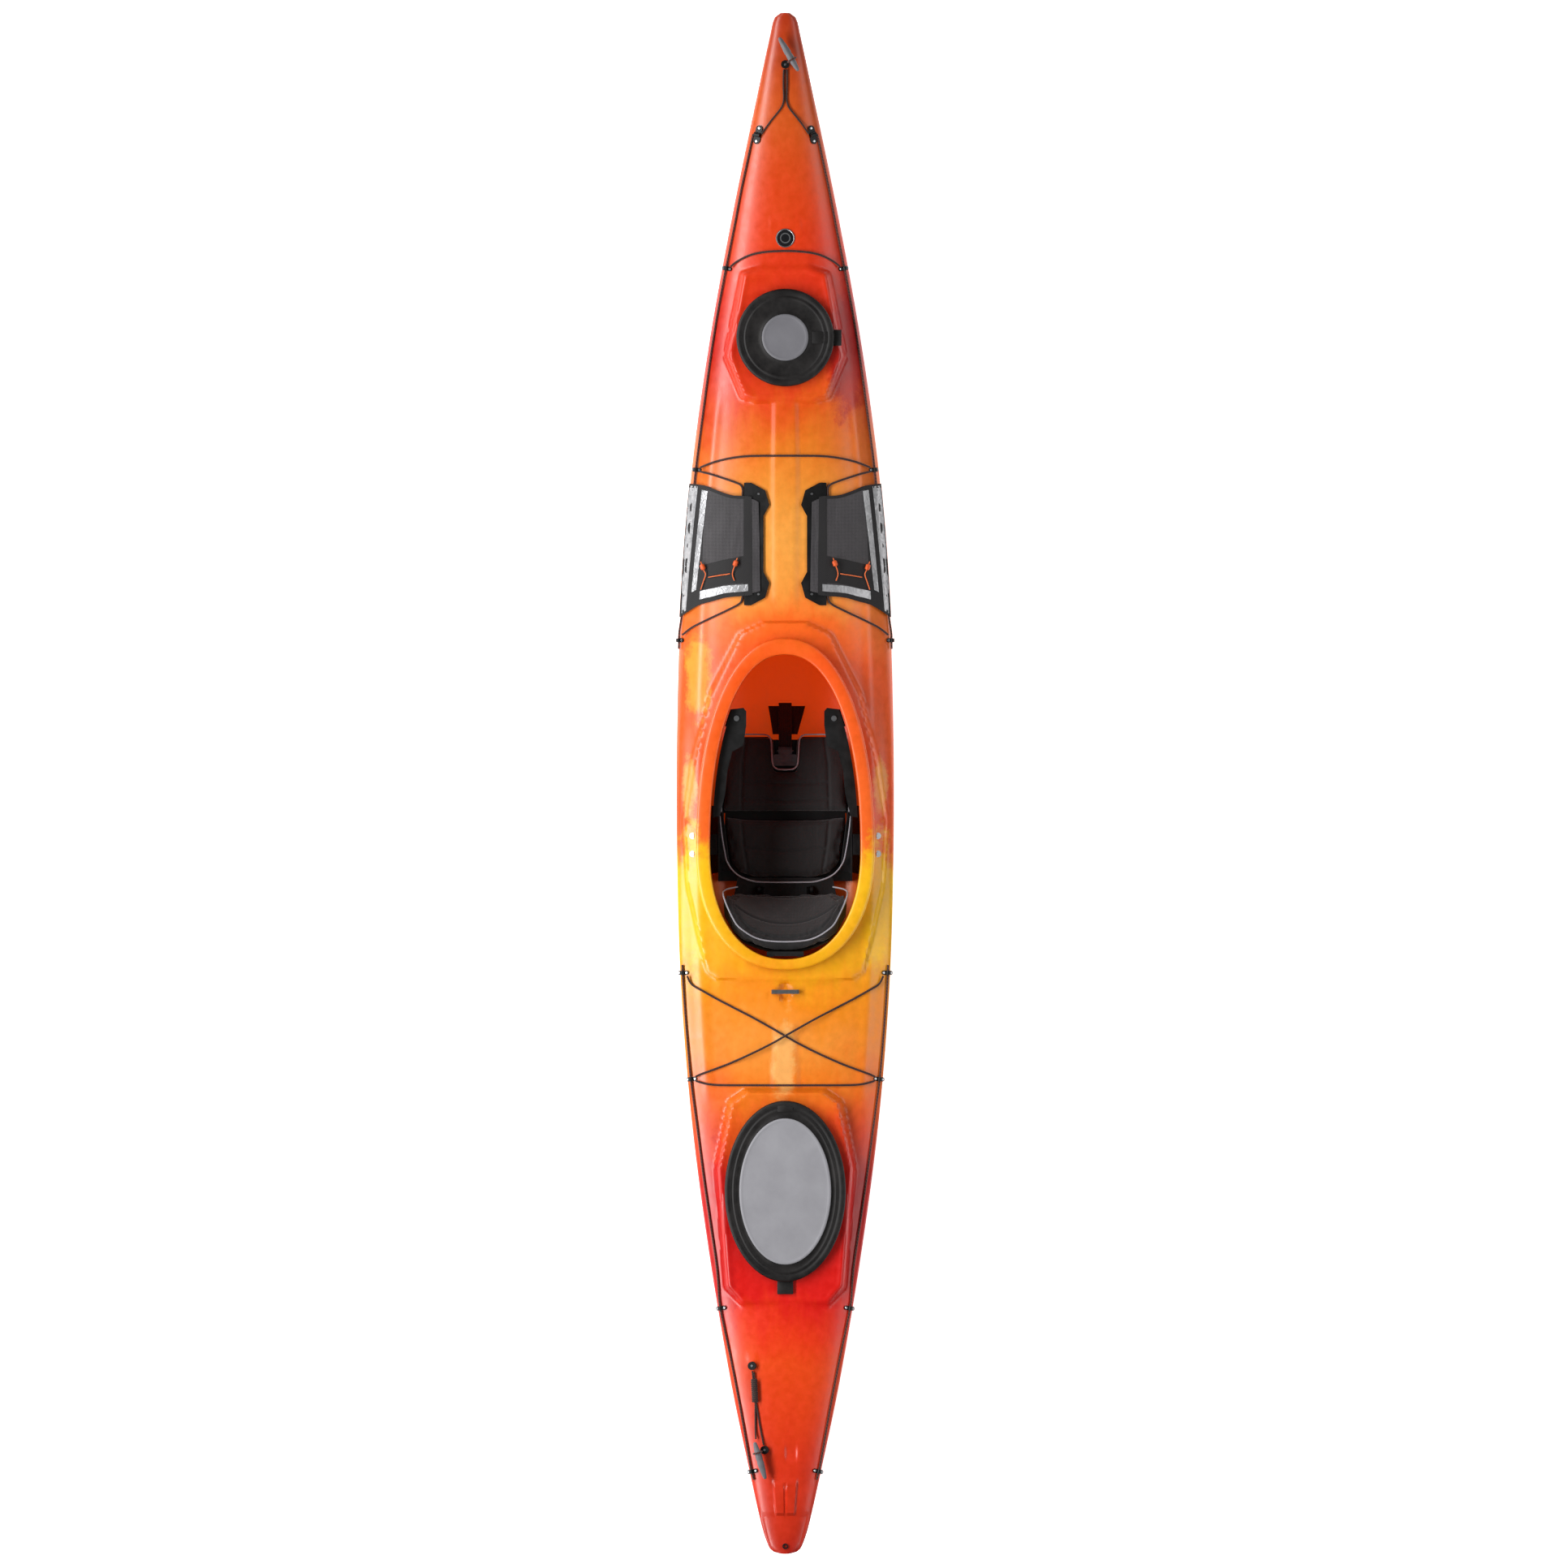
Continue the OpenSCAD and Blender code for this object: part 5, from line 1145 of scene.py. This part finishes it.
# Ribs across the strap, 1.8 mm apart, and two raised selvedges
ribs = add(webbing, "ShaderNodeTexWave", {
    "Vector": uv, "Scale": 87.0, "Distortion": 0.3}, bands_direction="X")
rows = add(webbing, "ShaderNodeTexWave", {"Vector": uv, "Scale": 55.0}, bands_direction="Y")
knit = add(webbing, "ShaderNodeMath", {
    0: ribs.outputs["Fac"], 1: rows.outputs["Fac"]}, operation="MULTIPLY")
shade = add(webbing, "ShaderNodeMix", {
    0: knit.outputs[0], 6: linear("#070707"), 7: linear("#262527")}, data_type="RGBA")
dent = add(webbing, "ShaderNodeBump", {"Height": knit.outputs[0], "Strength": 0.8, "Distance": 0.0006})
feed(surface, {
    "Base Color": shade.outputs[2], "Normal": dent.outputs[0], "Roughness": 0.75, "Sheen Weight": 0.25})
strap_route = fair_route([(62, 0, 59.6), (100, 0, 59.6), (140, 0, 59.4), (156, 0, 57), (180, 0, 47),
                          (214, 0, 31),
                          (237, 0, 21)], 5)
strap = flat_strap("leg_lifter_webbing", strap_route, 38, 2.4)
finished(strap, webbing, "leg_lifter", "webbing", "leg_lifter_strap")


def fabric_apron(name, corners, rows, columns, sag, body_name):
    """A limp flap of the seat's cover between four corners, hanging a little in its middle."""
    a, b, c, d = [Vector(p) for p in corners]

    def place_on(along, across):
        p = (a.lerp(b, along)).lerp(d.lerp(c, along), across)
        p.z -= sag * math.sin(math.pi * across) + 1.5 * math.sin(along * 19 + across * 5)
        return p

    flap = sheet_of_quads(name, rows, columns, place_on)
    face_up(flap)
    cloth = flap.modifiers.new("cloth", "SOLIDIFY")
    cloth.thickness = 2 * MM
    apply_all(flap)
    round_shading(flap, 50)
    return finished(flap, woven, body_name, "seat_fabric")


# Flaps that close the gaps at the seat's sides and behind it, and the patch under the strap
for side, s in (("port", 1), ("starboard", -1)):
    fabric_apron(f"seat_side_flap_{side}", [(-62, 184 * s, 88), (-250, 160 * s, 88), (-262, 226 * s, 66),
                                            (-62, 214 * s, 62)], 24, 6, 4, "boat")
fabric_apron("seat_rear_flap", [(-272, 138, 84), (-272, -138, 84), (-330, -150, 66), (-330, 150, 66)],
             24, 6, 2, "boat")
fabric_apron("strap_patch", [(146, 36, 55), (146, -36, 55), (228, -58, 23.5), (228, 49, 23.5)], 16, 12,
             0, "leg_lifter")

# ---- Buckle ------------------------------------------------------------------------------------
# Ladder-lock buckle of grey acetal, injection moulded, with a ribbed thumb lever.

acetal, surface = new_finish("grey_acetal")
place = add(acetal, "ShaderNodeTexCoord").outputs["Object"]
cloud = add(acetal, "ShaderNodeTexNoise", {"Vector": place, "Scale": 60.0, "Detail": 4.0})
shade = add(acetal, "ShaderNodeMix", {
    0: cloud.outputs["Fac"], 6: linear("#48474c"), 7: linear("#6c6b70")}, data_type="RGBA")
# Thumb ribs 4 mm apart
thumb = add(acetal, "ShaderNodeTexWave", {"Vector": place, "Scale": 39.0}, bands_direction="X")
dent = add(acetal, "ShaderNodeBump", {
    "Height": thumb.outputs["Fac"], "Strength": 0.4, "Distance": 0.0006})
feed(surface, {"Base Color": shade.outputs[2], "Normal": dent.outputs[0], "Roughness": 0.38})
dressed(["buckle_base", "buckle_lever"], acetal)

# ---- Thigh pads --------------------------------------------------------------------------------
# Pads of die-cut EVA foam stuck under each thigh brace, with rounded edges and a fine skin.

eva, surface = new_finish("die_cut_eva_foam")
place = add(eva, "ShaderNodeTexCoord").outputs["Object"]
pores = add(eva, "ShaderNodeTexVoronoi", {"Vector": place, "Scale": 480.0})
shade = add(eva, "ShaderNodeMix", {
    0: pores.outputs["Distance"], 6: linear("#161617"), 7: linear("#2e2e30")}, data_type="RGBA")
dent = add(eva, "ShaderNodeBump", {
    "Height": pores.outputs["Distance"], "Strength": 0.4, "Distance": 0.0006})
feed(surface, {"Base Color": shade.outputs[2], "Normal": dent.outputs[0], "Roughness": 0.8})
for side in ("port", "starboard"):
    pad = stuffed(f"thigh_cushion_{side}", f"thigh_pad_{side}", 0.0015, 0.002, voxel=0.004)
    finished(pad, eva, f"brace_{side}", "thigh_foam", f"thigh_pad_{side}")

# ---- Deck lines and bungees --------------------------------------------------------------------
# Black polyester line with a rust-coloured tracer runs round the deck through the pad eyes, and
# shock cord crosses it where gear is carried. Both lie close to the deck.

LINE_D, BUNGEE_D, LANYARD_D = 6, 6, 5


def deck_normal(x, y):
    dx = (deck_z(x + 2, y) - deck_z(x - 2, y)) / 4
    dy = (deck_z(x, y + 2) - deck_z(x, y - 2)) / 4
    return Vector((-dx, -dy, 1)).normalized()


def lying(place, diameter):
    """Middle of a cord that lies on the deck: place, and lift of its underside."""
    x, y, lift = place
    return Vector((x, y, max(moulded_z(x, y), deck_z(x, y)))) + (lift + diameter / 2) * deck_normal(x, y)


def laid(route, diameter, per_span=6):
    """A cord's route over the deck, drawn fair in plan and then laid on the moulded surface."""
    return [lying(p, diameter) for p in fair_route(route, per_span)]


def mirrored(route):
    return [(p[0], -p[1], *p[2:]) for p in route]


deck_line = cord_finish("braided_polyester_line", "#120705", "#3a1a10", "#8a3410", 0.0045, 0.16)
shock_cord = cord_finish("braided_shock_cord", "#140805", "#32160e", "#5a2410", 0.0035, 0.08)
BOW_LINE = [(1865, 88, 3), (1845, 94, 1), (1780, 108, 1), (1706, 124, 1), (1606, 143, 1), (1505, 162, 3),
            (1482, 166.5, 3), (1460, 171, 3), (1330, 196, 1), (1200, 216, 1), (1060, 235, 1),
            (930, 250.5, 3),
            (905, 253, 3), (880, 256, 3), (760, 269, 1), (640, 281, 1), (520, 291, 1), (440, 300, 3),
            (415, 301, 3), (390, 301.5, 3)]
STERN_LINE = [(-520, 294, 3), (-543, 293, 3), (-568, 292, 3), (-690, 284, 1), (-824, 272, 3),
              (-849, 269, 3),
              (-874, 266.5, 3), (-1000, 250, 1), (-1130, 233, 1), (-1260, 214, 1), (-1390, 195, 1),
              (-1482, 187, 3), (-1507, 183, 3), (-1532, 179, 3), (-1660, 153, 1), (-1800, 126, 1),
              (-1950, 98.5, 3), (-1974, 93, 3), (-1998, 87.5, 3)]
for name, route, node in (("bow_line", BOW_LINE, "bow_deck_lines"),
                          ("stern_line", STERN_LINE, "stern_deck_lines")):
    pair = [round_cord(name, laid(half, LINE_D), LINE_D) for half in (route, mirrored(route))]
    finished(joined(name, pair), deck_line, "boat", "cord_black", node)


def over(half):
    """A whole cross cord from its port half."""
    return half + mirrored(half[-2::-1])


BOW_CROSS = [(1486, 152, 8), (1500, 138, 2), (1514, 112, 1), (1523, 84, 1), (1528, 50, 1), (1530, 0, 1)]
MID_CROSS = [(911, 238, 8), (922, 214, 2), (931, 184, 1), (938, 148, 1), (942, 110, 1), (943, 70, 1),
             (943, 36, 1), (943, 0, 1)]
AFT_CROSS = [(-854, 254, 8), (-861, 232, 2), (-865, 205, 1), (-866, 170, 1), (-866, 120, 1),
             (-866, 70, 1),
             (-866, 0, 1)]
POUCH_BUNGEE = [(899, 238, 8), (892, 214, 2), (882, 184, 1), (870, 150, 1), (860, 128, 1),
                (846, 121.5, 1),
                (820, 122, 1), (690, 122, 1), (560, 122, 1), (534, 123, 1), (518, 132, 1), (500, 166, 1),
                (484, 200, 1), (466, 238, 1), (450, 268, 2), (430, 289, 8)]
AFT_LOWER = [(-552, 279, 8), (-576, 268, 2), (-596, 235, 1), (-618, 196, 1), (-642, 150, 1),
             (-672, 92, 1),
             (-700, 42, 1), (-724, 0, 1), (-748, -42, 1), (-776, -98, 1), (-802, -156, 1),
             (-820, -202, 1),
             (-834, -240, 2), (-842, -255, 8)]
AFT_UPPER = [(x, -y, lift + (7 if abs(x + 724) < 60 else 0) + (1 if abs(x + 724) < 20 else 0))
             for x, y, lift in AFT_LOWER]
for name, routes, node in (
        ("bow_cross_bungees", [over(BOW_CROSS), over(MID_CROSS)], "bow_bungees"),
        ("pouch_bungee_loops", [POUCH_BUNGEE, mirrored(POUCH_BUNGEE)], "pouch_bungees"),
        ("stern_cross_bungees", [over(AFT_CROSS), AFT_LOWER, AFT_UPPER], "stern_bungees")):
    cords = [round_cord(name, laid(route, BUNGEE_D), BUNGEE_D) for route in routes]
    finished(joined(name, cords), shock_cord, "boat", "cord_black", node)

# ---- Carrying toggles --------------------------------------------------------------------------
# Leaf-shaped handles of grey rubber hang in loops of cord at the bow and the stern, each held down
# by its own bungee or lanyard.

V_CORD = [(1864, 66, 4), (1880, 56, 2), (1905, 38, 1), (1935, 14, 1), (1952, 6, 1), (1970, 4, 1),
          (2000, 5, 1), (2030, 5, 1), (2049, 4, 2)]
LANYARD = [(-1686, 93.5, 4), (-1700, 92, 3), (-1730, 90, 1), (-1748, 88, 1), (-1790, 81, 1),
           (-1850, 71, 1),
           (-1884, 64, 2), (-1898, 61, 4)]
cords = [round_cord("v_cord", laid(route, LANYARD_D), LANYARD_D) for route in (V_CORD, mirrored(V_CORD))]
finished(joined("bow_toggle_shock_cord", cords), shock_cord, "boat", "cord_black", "bow_toggle_bungee")
second = [(-1690, 89, 4), (-1706, 87, 2), (-1735, 84, 1), (-1760, 84, 1), (-1790, 85, 1), (-1830, 85, 1),
          (-1862, 84, 3), (-1880, 82, 8)]
cords = [round_cord("lanyard", laid(route, LANYARD_D), LANYARD_D) for route in (LANYARD, second)]
for turn in range(11):
    x = -1712 - 6 * turn
    centre = Vector((x, 88 + (x + 1742) * 0.05, deck_z(x, 88) + 9.5))
    loop = [centre + Vector((1.6 * math.sin(a), 6.8 * math.cos(a), 5.6 * math.sin(a)))
            for a in [2 * math.pi * k / 16 for k in range(16)]]
    cords.append(round_cord("knot_turn", loop, LANYARD_D + 1, closed=True))
finished(joined("stern_toggle_lanyard", cords), shock_cord, "boat", "cord_black", "stern_lanyard")

toggle_rubber, surface = new_finish("moulded_grey_rubber")
place = add(toggle_rubber, "ShaderNodeTexCoord").outputs["Object"]
cloud = add(toggle_rubber, "ShaderNodeTexNoise", {
    "Vector": place, "Scale": 40.0, "Detail": 5.0, "Roughness": 0.65})
shade = add(toggle_rubber, "ShaderNodeMix", {
    0: cloud.outputs["Fac"], 6: linear("#525055"), 7: linear("#7b7a7e")}, data_type="RGBA")
grain = add(toggle_rubber, "ShaderNodeTexNoise", {"Vector": place, "Scale": 700.0, "Detail": 1.0})
dent = add(toggle_rubber, "ShaderNodeBump", {
    "Height": grain.outputs["Fac"], "Strength": 0.3, "Distance": 0.0003})
feed(surface, {"Base Color": shade.outputs[2], "Normal": dent.outputs[0], "Roughness": 0.5})
TOGGLE_LEN, TOGGLE_R, SWING_R, HANDLE_LIFT = 111, 10, 22, 27.5
BOW_FIT = Vector((2063, 0, 399.277))
STERN_FIT = Vector((-1912, 58, 335.211))
for name, at, yaw, shift, hand, body_name, node in (
        ("bow_toggle", BOW_FIT, 29.8, 18.5, -1, "bow_toggle", "bow_toggle_handle"),
        ("stern_toggle", STERN_FIT, 16.3, -23.4, 1, "stern_toggle", "stern_toggle_handle")):
    empty_selection()
    bpy.ops.mesh.primitive_uv_sphere_add(segments=40, ring_count=36, radius=1)
    leaf = bpy.context.object
    leaf.name = f"{name}_leaf"
    for v in leaf.data.vertices:
        s = v.co.z
        angle = math.atan2(v.co.y, v.co.x)
        tip = min(1, (1 - abs(s)) / 0.05) ** 0.5
        r = TOGGLE_R * (0.30 + 0.70 * max(math.cos(math.radians(84 * s)), 0) ** 0.8) * tip
        r -= 1.4 * math.exp(-(s / 0.05) ** 2)
        r -= 0.5 * sum(math.exp(-((abs(s) - rib) / 0.018) ** 2) for rib in (0.30, 0.42, 0.54, 0.66))
        v.co = Vector((s * TOGGLE_LEN / 2, r * math.cos(angle), r * math.sin(angle))) * MM
    turn = Matrix.Rotation(math.radians(yaw), 4, "Z")
    leaf.data.transform(Matrix.Translation(at * MM) @ turn
                        @ Matrix.Translation(Vector((shift, hand * SWING_R, HANDLE_LIFT)) * MM))
    only(leaf)
    bpy.ops.object.shade_smooth()
    settle_normals(leaf, 0.00001)
    finished(leaf, toggle_rubber, body_name, "toggle_grey", node)
    r = TOGGLE_R + LANYARD_D / 2 + 0.3
    angles = [math.radians(212 - 26 * i) for i in range(11)]
    arc = [(SWING_R + r * math.cos(a), HANDLE_LIFT + r * math.sin(a)) for a in angles]
    loop = fair_route([(p[0], 0, p[1]) for p in [(16, 12)] + arc + [(23, 9.5), (16.4, 5.6)]], 4)
    spin = Matrix.Rotation(math.radians(yaw + 90 * hand), 3, "Z")
    loop = round_cord(f"{name}_cord", [at + spin @ p for p in loop], LANYARD_D)
    finished(loop, deck_line, body_name, "cord_black", f"{name}_loop")

# ---- Deck pouches ------------------------------------------------------------------------------
# Mesh pouches stretched over each side of the fore deck. The net is polyester, bound all round in
# black tape, with strips of silver reflective tape sewn along the outer and rear edges.

REAR_EDGE = [(0, 541), (.30, 536), (.50, 526), (.72, 514), (1, 481)]
FRONT_EDGE = [(0, 828), (.22, 830), (.42, 840), (.70, 858), (1, 866)]
NET_LIFT, LINE_LIFT, EDGE_DROP = 9.2, 2.4, 9


def pouch_place(s, t):
    """Place on the port deck of a share along the pouch, aft to fore, and across it, inner to outer."""
    x = mix(faired(REAR_EDGE, t), faired(FRONT_EDGE, t), s)
    return x, mix(116, half_breadth(x) + 2, t)


def pouch_z(s, t):
    """Height of the net: taut over the deck, and over the line at its outer edge."""
    x, y = pouch_place(s, t)
    belly = 2.2 * math.sin(math.pi * s) * math.sin(math.pi * min(t, 0.8) / 0.8)
    belly += 0.8 * math.sin(9 * s + 5 * t) * math.sin(math.pi * s)
    z = deck_z(x, min(y, half_breadth(x) - 7)) + NET_LIFT
    z += LINE_LIFT * smooth((t - 0.80) / 0.08)
    z -= EDGE_DROP * smooth((t - .93) / .07)
    return z + belly


def pouch_patch(name, corners, rows, columns, lift, thickness, hand, wavy=0.0):
    """A piece of tape or net laid over the pouch. Corners are shares (along, across) of it."""
    (a0, b0), (a1, b1), (a2, b2), (a3, b3) = corners

    def place_on(along, across):
        s = mix(mix(a0, a1, along), mix(a3, a2, along), across)
        t = mix(mix(b0, b1, along), mix(b3, b2, along), across)
        t += wavy * math.sin(along * 21) * (1 - abs(across * 2 - 1))
        x, y = pouch_place(s, t)
        return x, hand * y, pouch_z(s, t) + lift

    patch = sheet_of_quads(name, rows, columns, place_on)
    layer = patch.data.uv_layers.active or patch.data.uv_layers.new()
    layer.name = "tape"
    for loop in patch.data.loops:
        co = patch.data.vertices[loop.vertex_index].co
        layer.data[loop.index].uv = (co.x, co.y)
    face_up(patch)
    cloth = patch.modifiers.new("cloth", "SOLIDIFY")
    cloth.thickness = thickness * MM
    cloth.offset = 1
    apply_all(patch)
    round_shading(patch, 50)
    return patch


net, surface = new_finish("polyester_netting")
uv = add(net, "ShaderNodeUVMap", uv_map="tape").outputs[0]
# Hexagonal holes 3 mm apart, drawn a little coarse so that they show
holes = add(net, "ShaderNodeTexVoronoi", {
    "Vector": add(net, "ShaderNodeMapping", {"Vector": uv, "Scale": (330, 330, 330)}).outputs[0],
    "Scale": 1.0, "Randomness": 0.12}, voronoi_dimensions="2D")
hole = add(net, "ShaderNodeMapRange", {
    "Value": holes.outputs["Distance"], "From Min": 0.26, "From Max": 0.40})
# Folds along the net: they bump it, and as painted light and shade they also make the threads lighter
# and darker
folds_and_painted_shade = add(net, "ShaderNodeTexNoise", {
    "Vector": add(net, "ShaderNodeMapping", {"Vector": uv, "Scale": (5, 16, 5)}).outputs[0],
    "Scale": 1.0, "Detail": 3.0, "Distortion": 1.2})
thread = add(net, "ShaderNodeMix", {
    0: folds_and_painted_shade.outputs["Fac"], 6: linear("#343033"), 7: linear("#5a5659")}, data_type="RGBA")
shade = add(net, "ShaderNodeMix", {
    0: hole.outputs[0], 6: linear("#1a1819"), 7: thread.outputs[2]}, data_type="RGBA")
fold_bump = add(net, "ShaderNodeBump", {
    "Height": folds_and_painted_shade.outputs["Fac"], "Strength": 0.7, "Distance": 0.006})
dent = add(net, "ShaderNodeBump", {
    "Height": hole.outputs[0], "Strength": 0.8, "Distance": 0.0008, "Normal": fold_bump.outputs[0]})
feed(surface, {
    "Base Color": shade.outputs[2], "Normal": dent.outputs[0], "Roughness": 0.62, "Sheen Weight": 0.1})

binding, surface = new_finish("polyester_binding_tape")
uv = add(binding, "ShaderNodeUVMap", uv_map="tape").outputs[0]
ribs = add(binding, "ShaderNodeTexWave", {
    "Vector": uv, "Scale": 98.0, "Distortion": 0.4}, bands_direction="DIAGONAL")
shade = add(binding, "ShaderNodeMix", {
    0: ribs.outputs["Fac"], 6: linear("#080707"), 7: linear("#1f1c1e")}, data_type="RGBA")
dent = add(binding, "ShaderNodeBump", {
    "Height": ribs.outputs["Fac"], "Strength": 0.6, "Distance": 0.0005})
feed(surface, {"Base Color": shade.outputs[2], "Normal": dent.outputs[0], "Roughness": 0.7})

reflective, surface = new_finish("glass_bead_reflective_tape")
uv = add(reflective, "ShaderNodeUVMap", uv_map="tape").outputs[0]
# Creases of tape that has been folded, which also make the colour lighter and darker as painted
# reflection and painted shade, and the fine glitter of its beads
creases = add(reflective, "ShaderNodeTexNoise", {
    "Vector": uv, "Scale": 60.0, "Detail": 5.0, "Distortion": 1.5})
shade = add(reflective, "ShaderNodeMix", {
    0: creases.outputs["Fac"], 6: linear("#7d7d80"), 7: linear("#d2d2d4")}, data_type="RGBA")
beads = add(reflective, "ShaderNodeTexNoise", {"Vector": uv, "Scale": 900.0, "Detail": 1.0})
bead_bump = add(reflective, "ShaderNodeBump", {
    "Height": beads.outputs["Fac"], "Strength": 0.4, "Distance": 0.0002})
dent = add(reflective, "ShaderNodeBump", {
    "Height": creases.outputs["Fac"], "Strength": 0.7, "Distance": 0.003,
    "Normal": bead_bump.outputs[0]})
feed(surface, {
    "Base Color": shade.outputs[2], "Normal": dent.outputs[0], "Roughness": 0.34, "Metallic": 0.55})

for side, hand in (("port", 1), ("starboard", -1)):
    sheet = pouch_patch(f"pouch_net_{side}", [(0, 0), (1, 0), (1, 1), (0, 1)], 44, 28, 0, 1.0, hand)
    finished(sheet, net, "boat", "pouch_fabric", f"pouch_mesh_{side}")
    bands = [
        pouch_patch("front_binding", [(.97, 0), (1, 0), (1, 1), (.97, 1)], 3, 28, 1.1, 0.7, hand),
        pouch_patch("rear_binding", [(0, 0), (.04, 0), (.04, 1), (0, 1)], 3, 28, 1.1, 0.7, hand),
        pouch_patch("inner_binding", [(0, -.12), (1, -.12), (1, .02), (0, .02)], 44, 4, 1.1, 0.7, hand),
        pouch_patch("outer_band", [(.03, .68), (.97, .70), (.97, 1), (.03, 1)], 44, 8, 1.1, 0.5, hand,
                    0.012),
        pouch_patch("pull_patch", [(.13, .02), (.40, .02), (.33, .70), (.12, .70)], 10, 12, 1.0, 0.5,
                    hand)]
    hem = pouch_patch("inner_hem", [(.02, -.24), (.98, -.24), (.98, -.12), (.02, -.12)], 44, 4, 0.6, 0.7,
                      hand)
    finished(hem, net, "boat", "pouch_fabric")
    hem.name = f"pouch_hem_{side}"
    bound = finished(joined(f"pouch_binding_{side}", bands), binding, "boat", "pouch_fabric")
    strips = [
        pouch_patch("outer_strip", [(.02, .905), (.985, .84), (.985, .995), (.02, .995)], 60, 4, 1.7,
                    0.4, hand, 0.02),
        pouch_patch("second_strip", [(.14, .76), (.96, .66), (.96, .765), (.14, .83)], 60, 3, 1.7, 0.4,
                    hand, 0.01),
        pouch_patch("rear_strip", [(.045, -.05), (.115, -.05), (.115, .70), (.045, .70)], 4, 24, 1.7,
                    0.4, hand)]
    taped = finished(joined(f"pouch_reflective_{side}", strips), reflective, "boat", "pouch_fabric")

# ---- Pouch draw cords --------------------------------------------------------------------------
# Thin orange cords close each pouch, with two barrel locks of orange acetal on their tails.

PULL_D = 3
CORD_LIFT = 14.4
PULL_OUTER = [(560, 236, 0), (585, 228, 0), (603, 222, 2), (616, 226, 4), (640, 234, 4)]
PULL_INNER = [(585, 143, 0), (600, 148, 0), (612, 147, 2), (626, 142, 4), (650, 134, 4)]
PULL_ACROSS = [(595, 215, 0), (598, 198, 0), (601, 181, 0), (603, 166, 0), (605, 155, 0)]
orange_cord = cord_finish("braided_orange_cord", "#b83a08", "#ff7426", "#ff9a50", 0.003, 0.1)
cords = []
for route in (PULL_OUTER, PULL_INNER, PULL_ACROSS):
    for half in (route, mirrored(route)):
        cords.append(round_cord("pull", fair_route([
            Vector((x, y, deck_z(x, y))) + (lift + CORD_LIFT + PULL_D / 2) * deck_normal(x, y)
            for x, y, lift in half], 5), PULL_D, 8))
finished(joined("pouch_pull_cords", cords), orange_cord, "boat", "cord_orange", "pouch_cords")
orange_acetal, surface = new_finish("orange_acetal")
place = add(orange_acetal, "ShaderNodeTexCoord").outputs["Object"]
cloud = add(orange_acetal, "ShaderNodeTexNoise", {"Vector": place, "Scale": 120.0, "Detail": 3.0})
shade = add(orange_acetal, "ShaderNodeMix", {
    0: cloud.outputs["Fac"], 6: linear("#c8420a"), 7: linear("#f0641e")}, data_type="RGBA")
feed(surface, {"Base Color": shade.outputs[2], "Roughness": 0.4})
dressed([f"cord_lock_{side}_{which}" for side in ("port", "starboard") for which in ("outer", "inner")],
        orange_acetal)

# ---- Badge -------------------------------------------------------------------------------------
# A domed badge in a turned ring, black enamel on aluminium, with a plain ring for a device.

BADGE_X, BADGE_R = 1567, 27
empty_selection()
badge_z = moulded_z(BADGE_X, 0)
badge = ring_stack("badge_ring", 0, 0, BADGE_R, BADGE_R,
                   [(0, 0), (0, 1.6), (.8, 2.3), (2.2, 2.4), (3, 1.9), (3.2, 1.4)],
                   points=64)
face = ring_stack("badge_face", 0, 0, BADGE_R - 3.2, BADGE_R - 3.2,
                  [(0, 1.0), (0, 1.9), (6, 2.2), (12, 2.4)], points=64)
device = ring_stack("badge_device", 0, 0, 15, 15, [(0, 2.1), (0, 2.6), (3.2, 2.6), (3.2, 2.1)],
                    points=48)
lean = Vector((0, 0, 1)).rotation_difference(deck_normal(BADGE_X, 0)).to_matrix().to_4x4()
for part in (badge, face, device):
    part.data.transform(Matrix.Translation(Vector((BADGE_X, 0, badge_z + 0.4)) * MM) @ lean)
    round_shading(part, 35)
aluminium, surface = new_finish("turned_aluminium")
place = add(aluminium, "ShaderNodeTexCoord").outputs["Object"]
cuts = add(aluminium, "ShaderNodeTexNoise", {"Vector": place, "Scale": 400.0, "Detail": 3.0})
shade = add(aluminium, "ShaderNodeMix", {
    0: cuts.outputs["Fac"], 6: linear("#a9abae"), 7: linear("#e3e4e6")}, data_type="RGBA")
feed(surface, {"Base Color": shade.outputs[2], "Metallic": 1.0, "Roughness": 0.3})
enamel, surface = new_finish("black_enamel")
place = add(enamel, "ShaderNodeTexCoord").outputs["Object"]
cloud = add(enamel, "ShaderNodeTexNoise", {"Vector": place, "Scale": 90.0, "Detail": 3.0})
shade = add(enamel, "ShaderNodeMix", {
    0: cloud.outputs["Fac"], 6: linear("#0b0b0d"), 7: linear("#1c1c20")}, data_type="RGBA")
feed(surface, {"Base Color": shade.outputs[2], "Roughness": 0.15, "Coat Weight": 0.6})
finished(face, enamel, "boat", "hatch_grey")
finished(joined("badge_ring", [badge, device]), aluminium, "boat", "hatch_grey", "deck_badge")
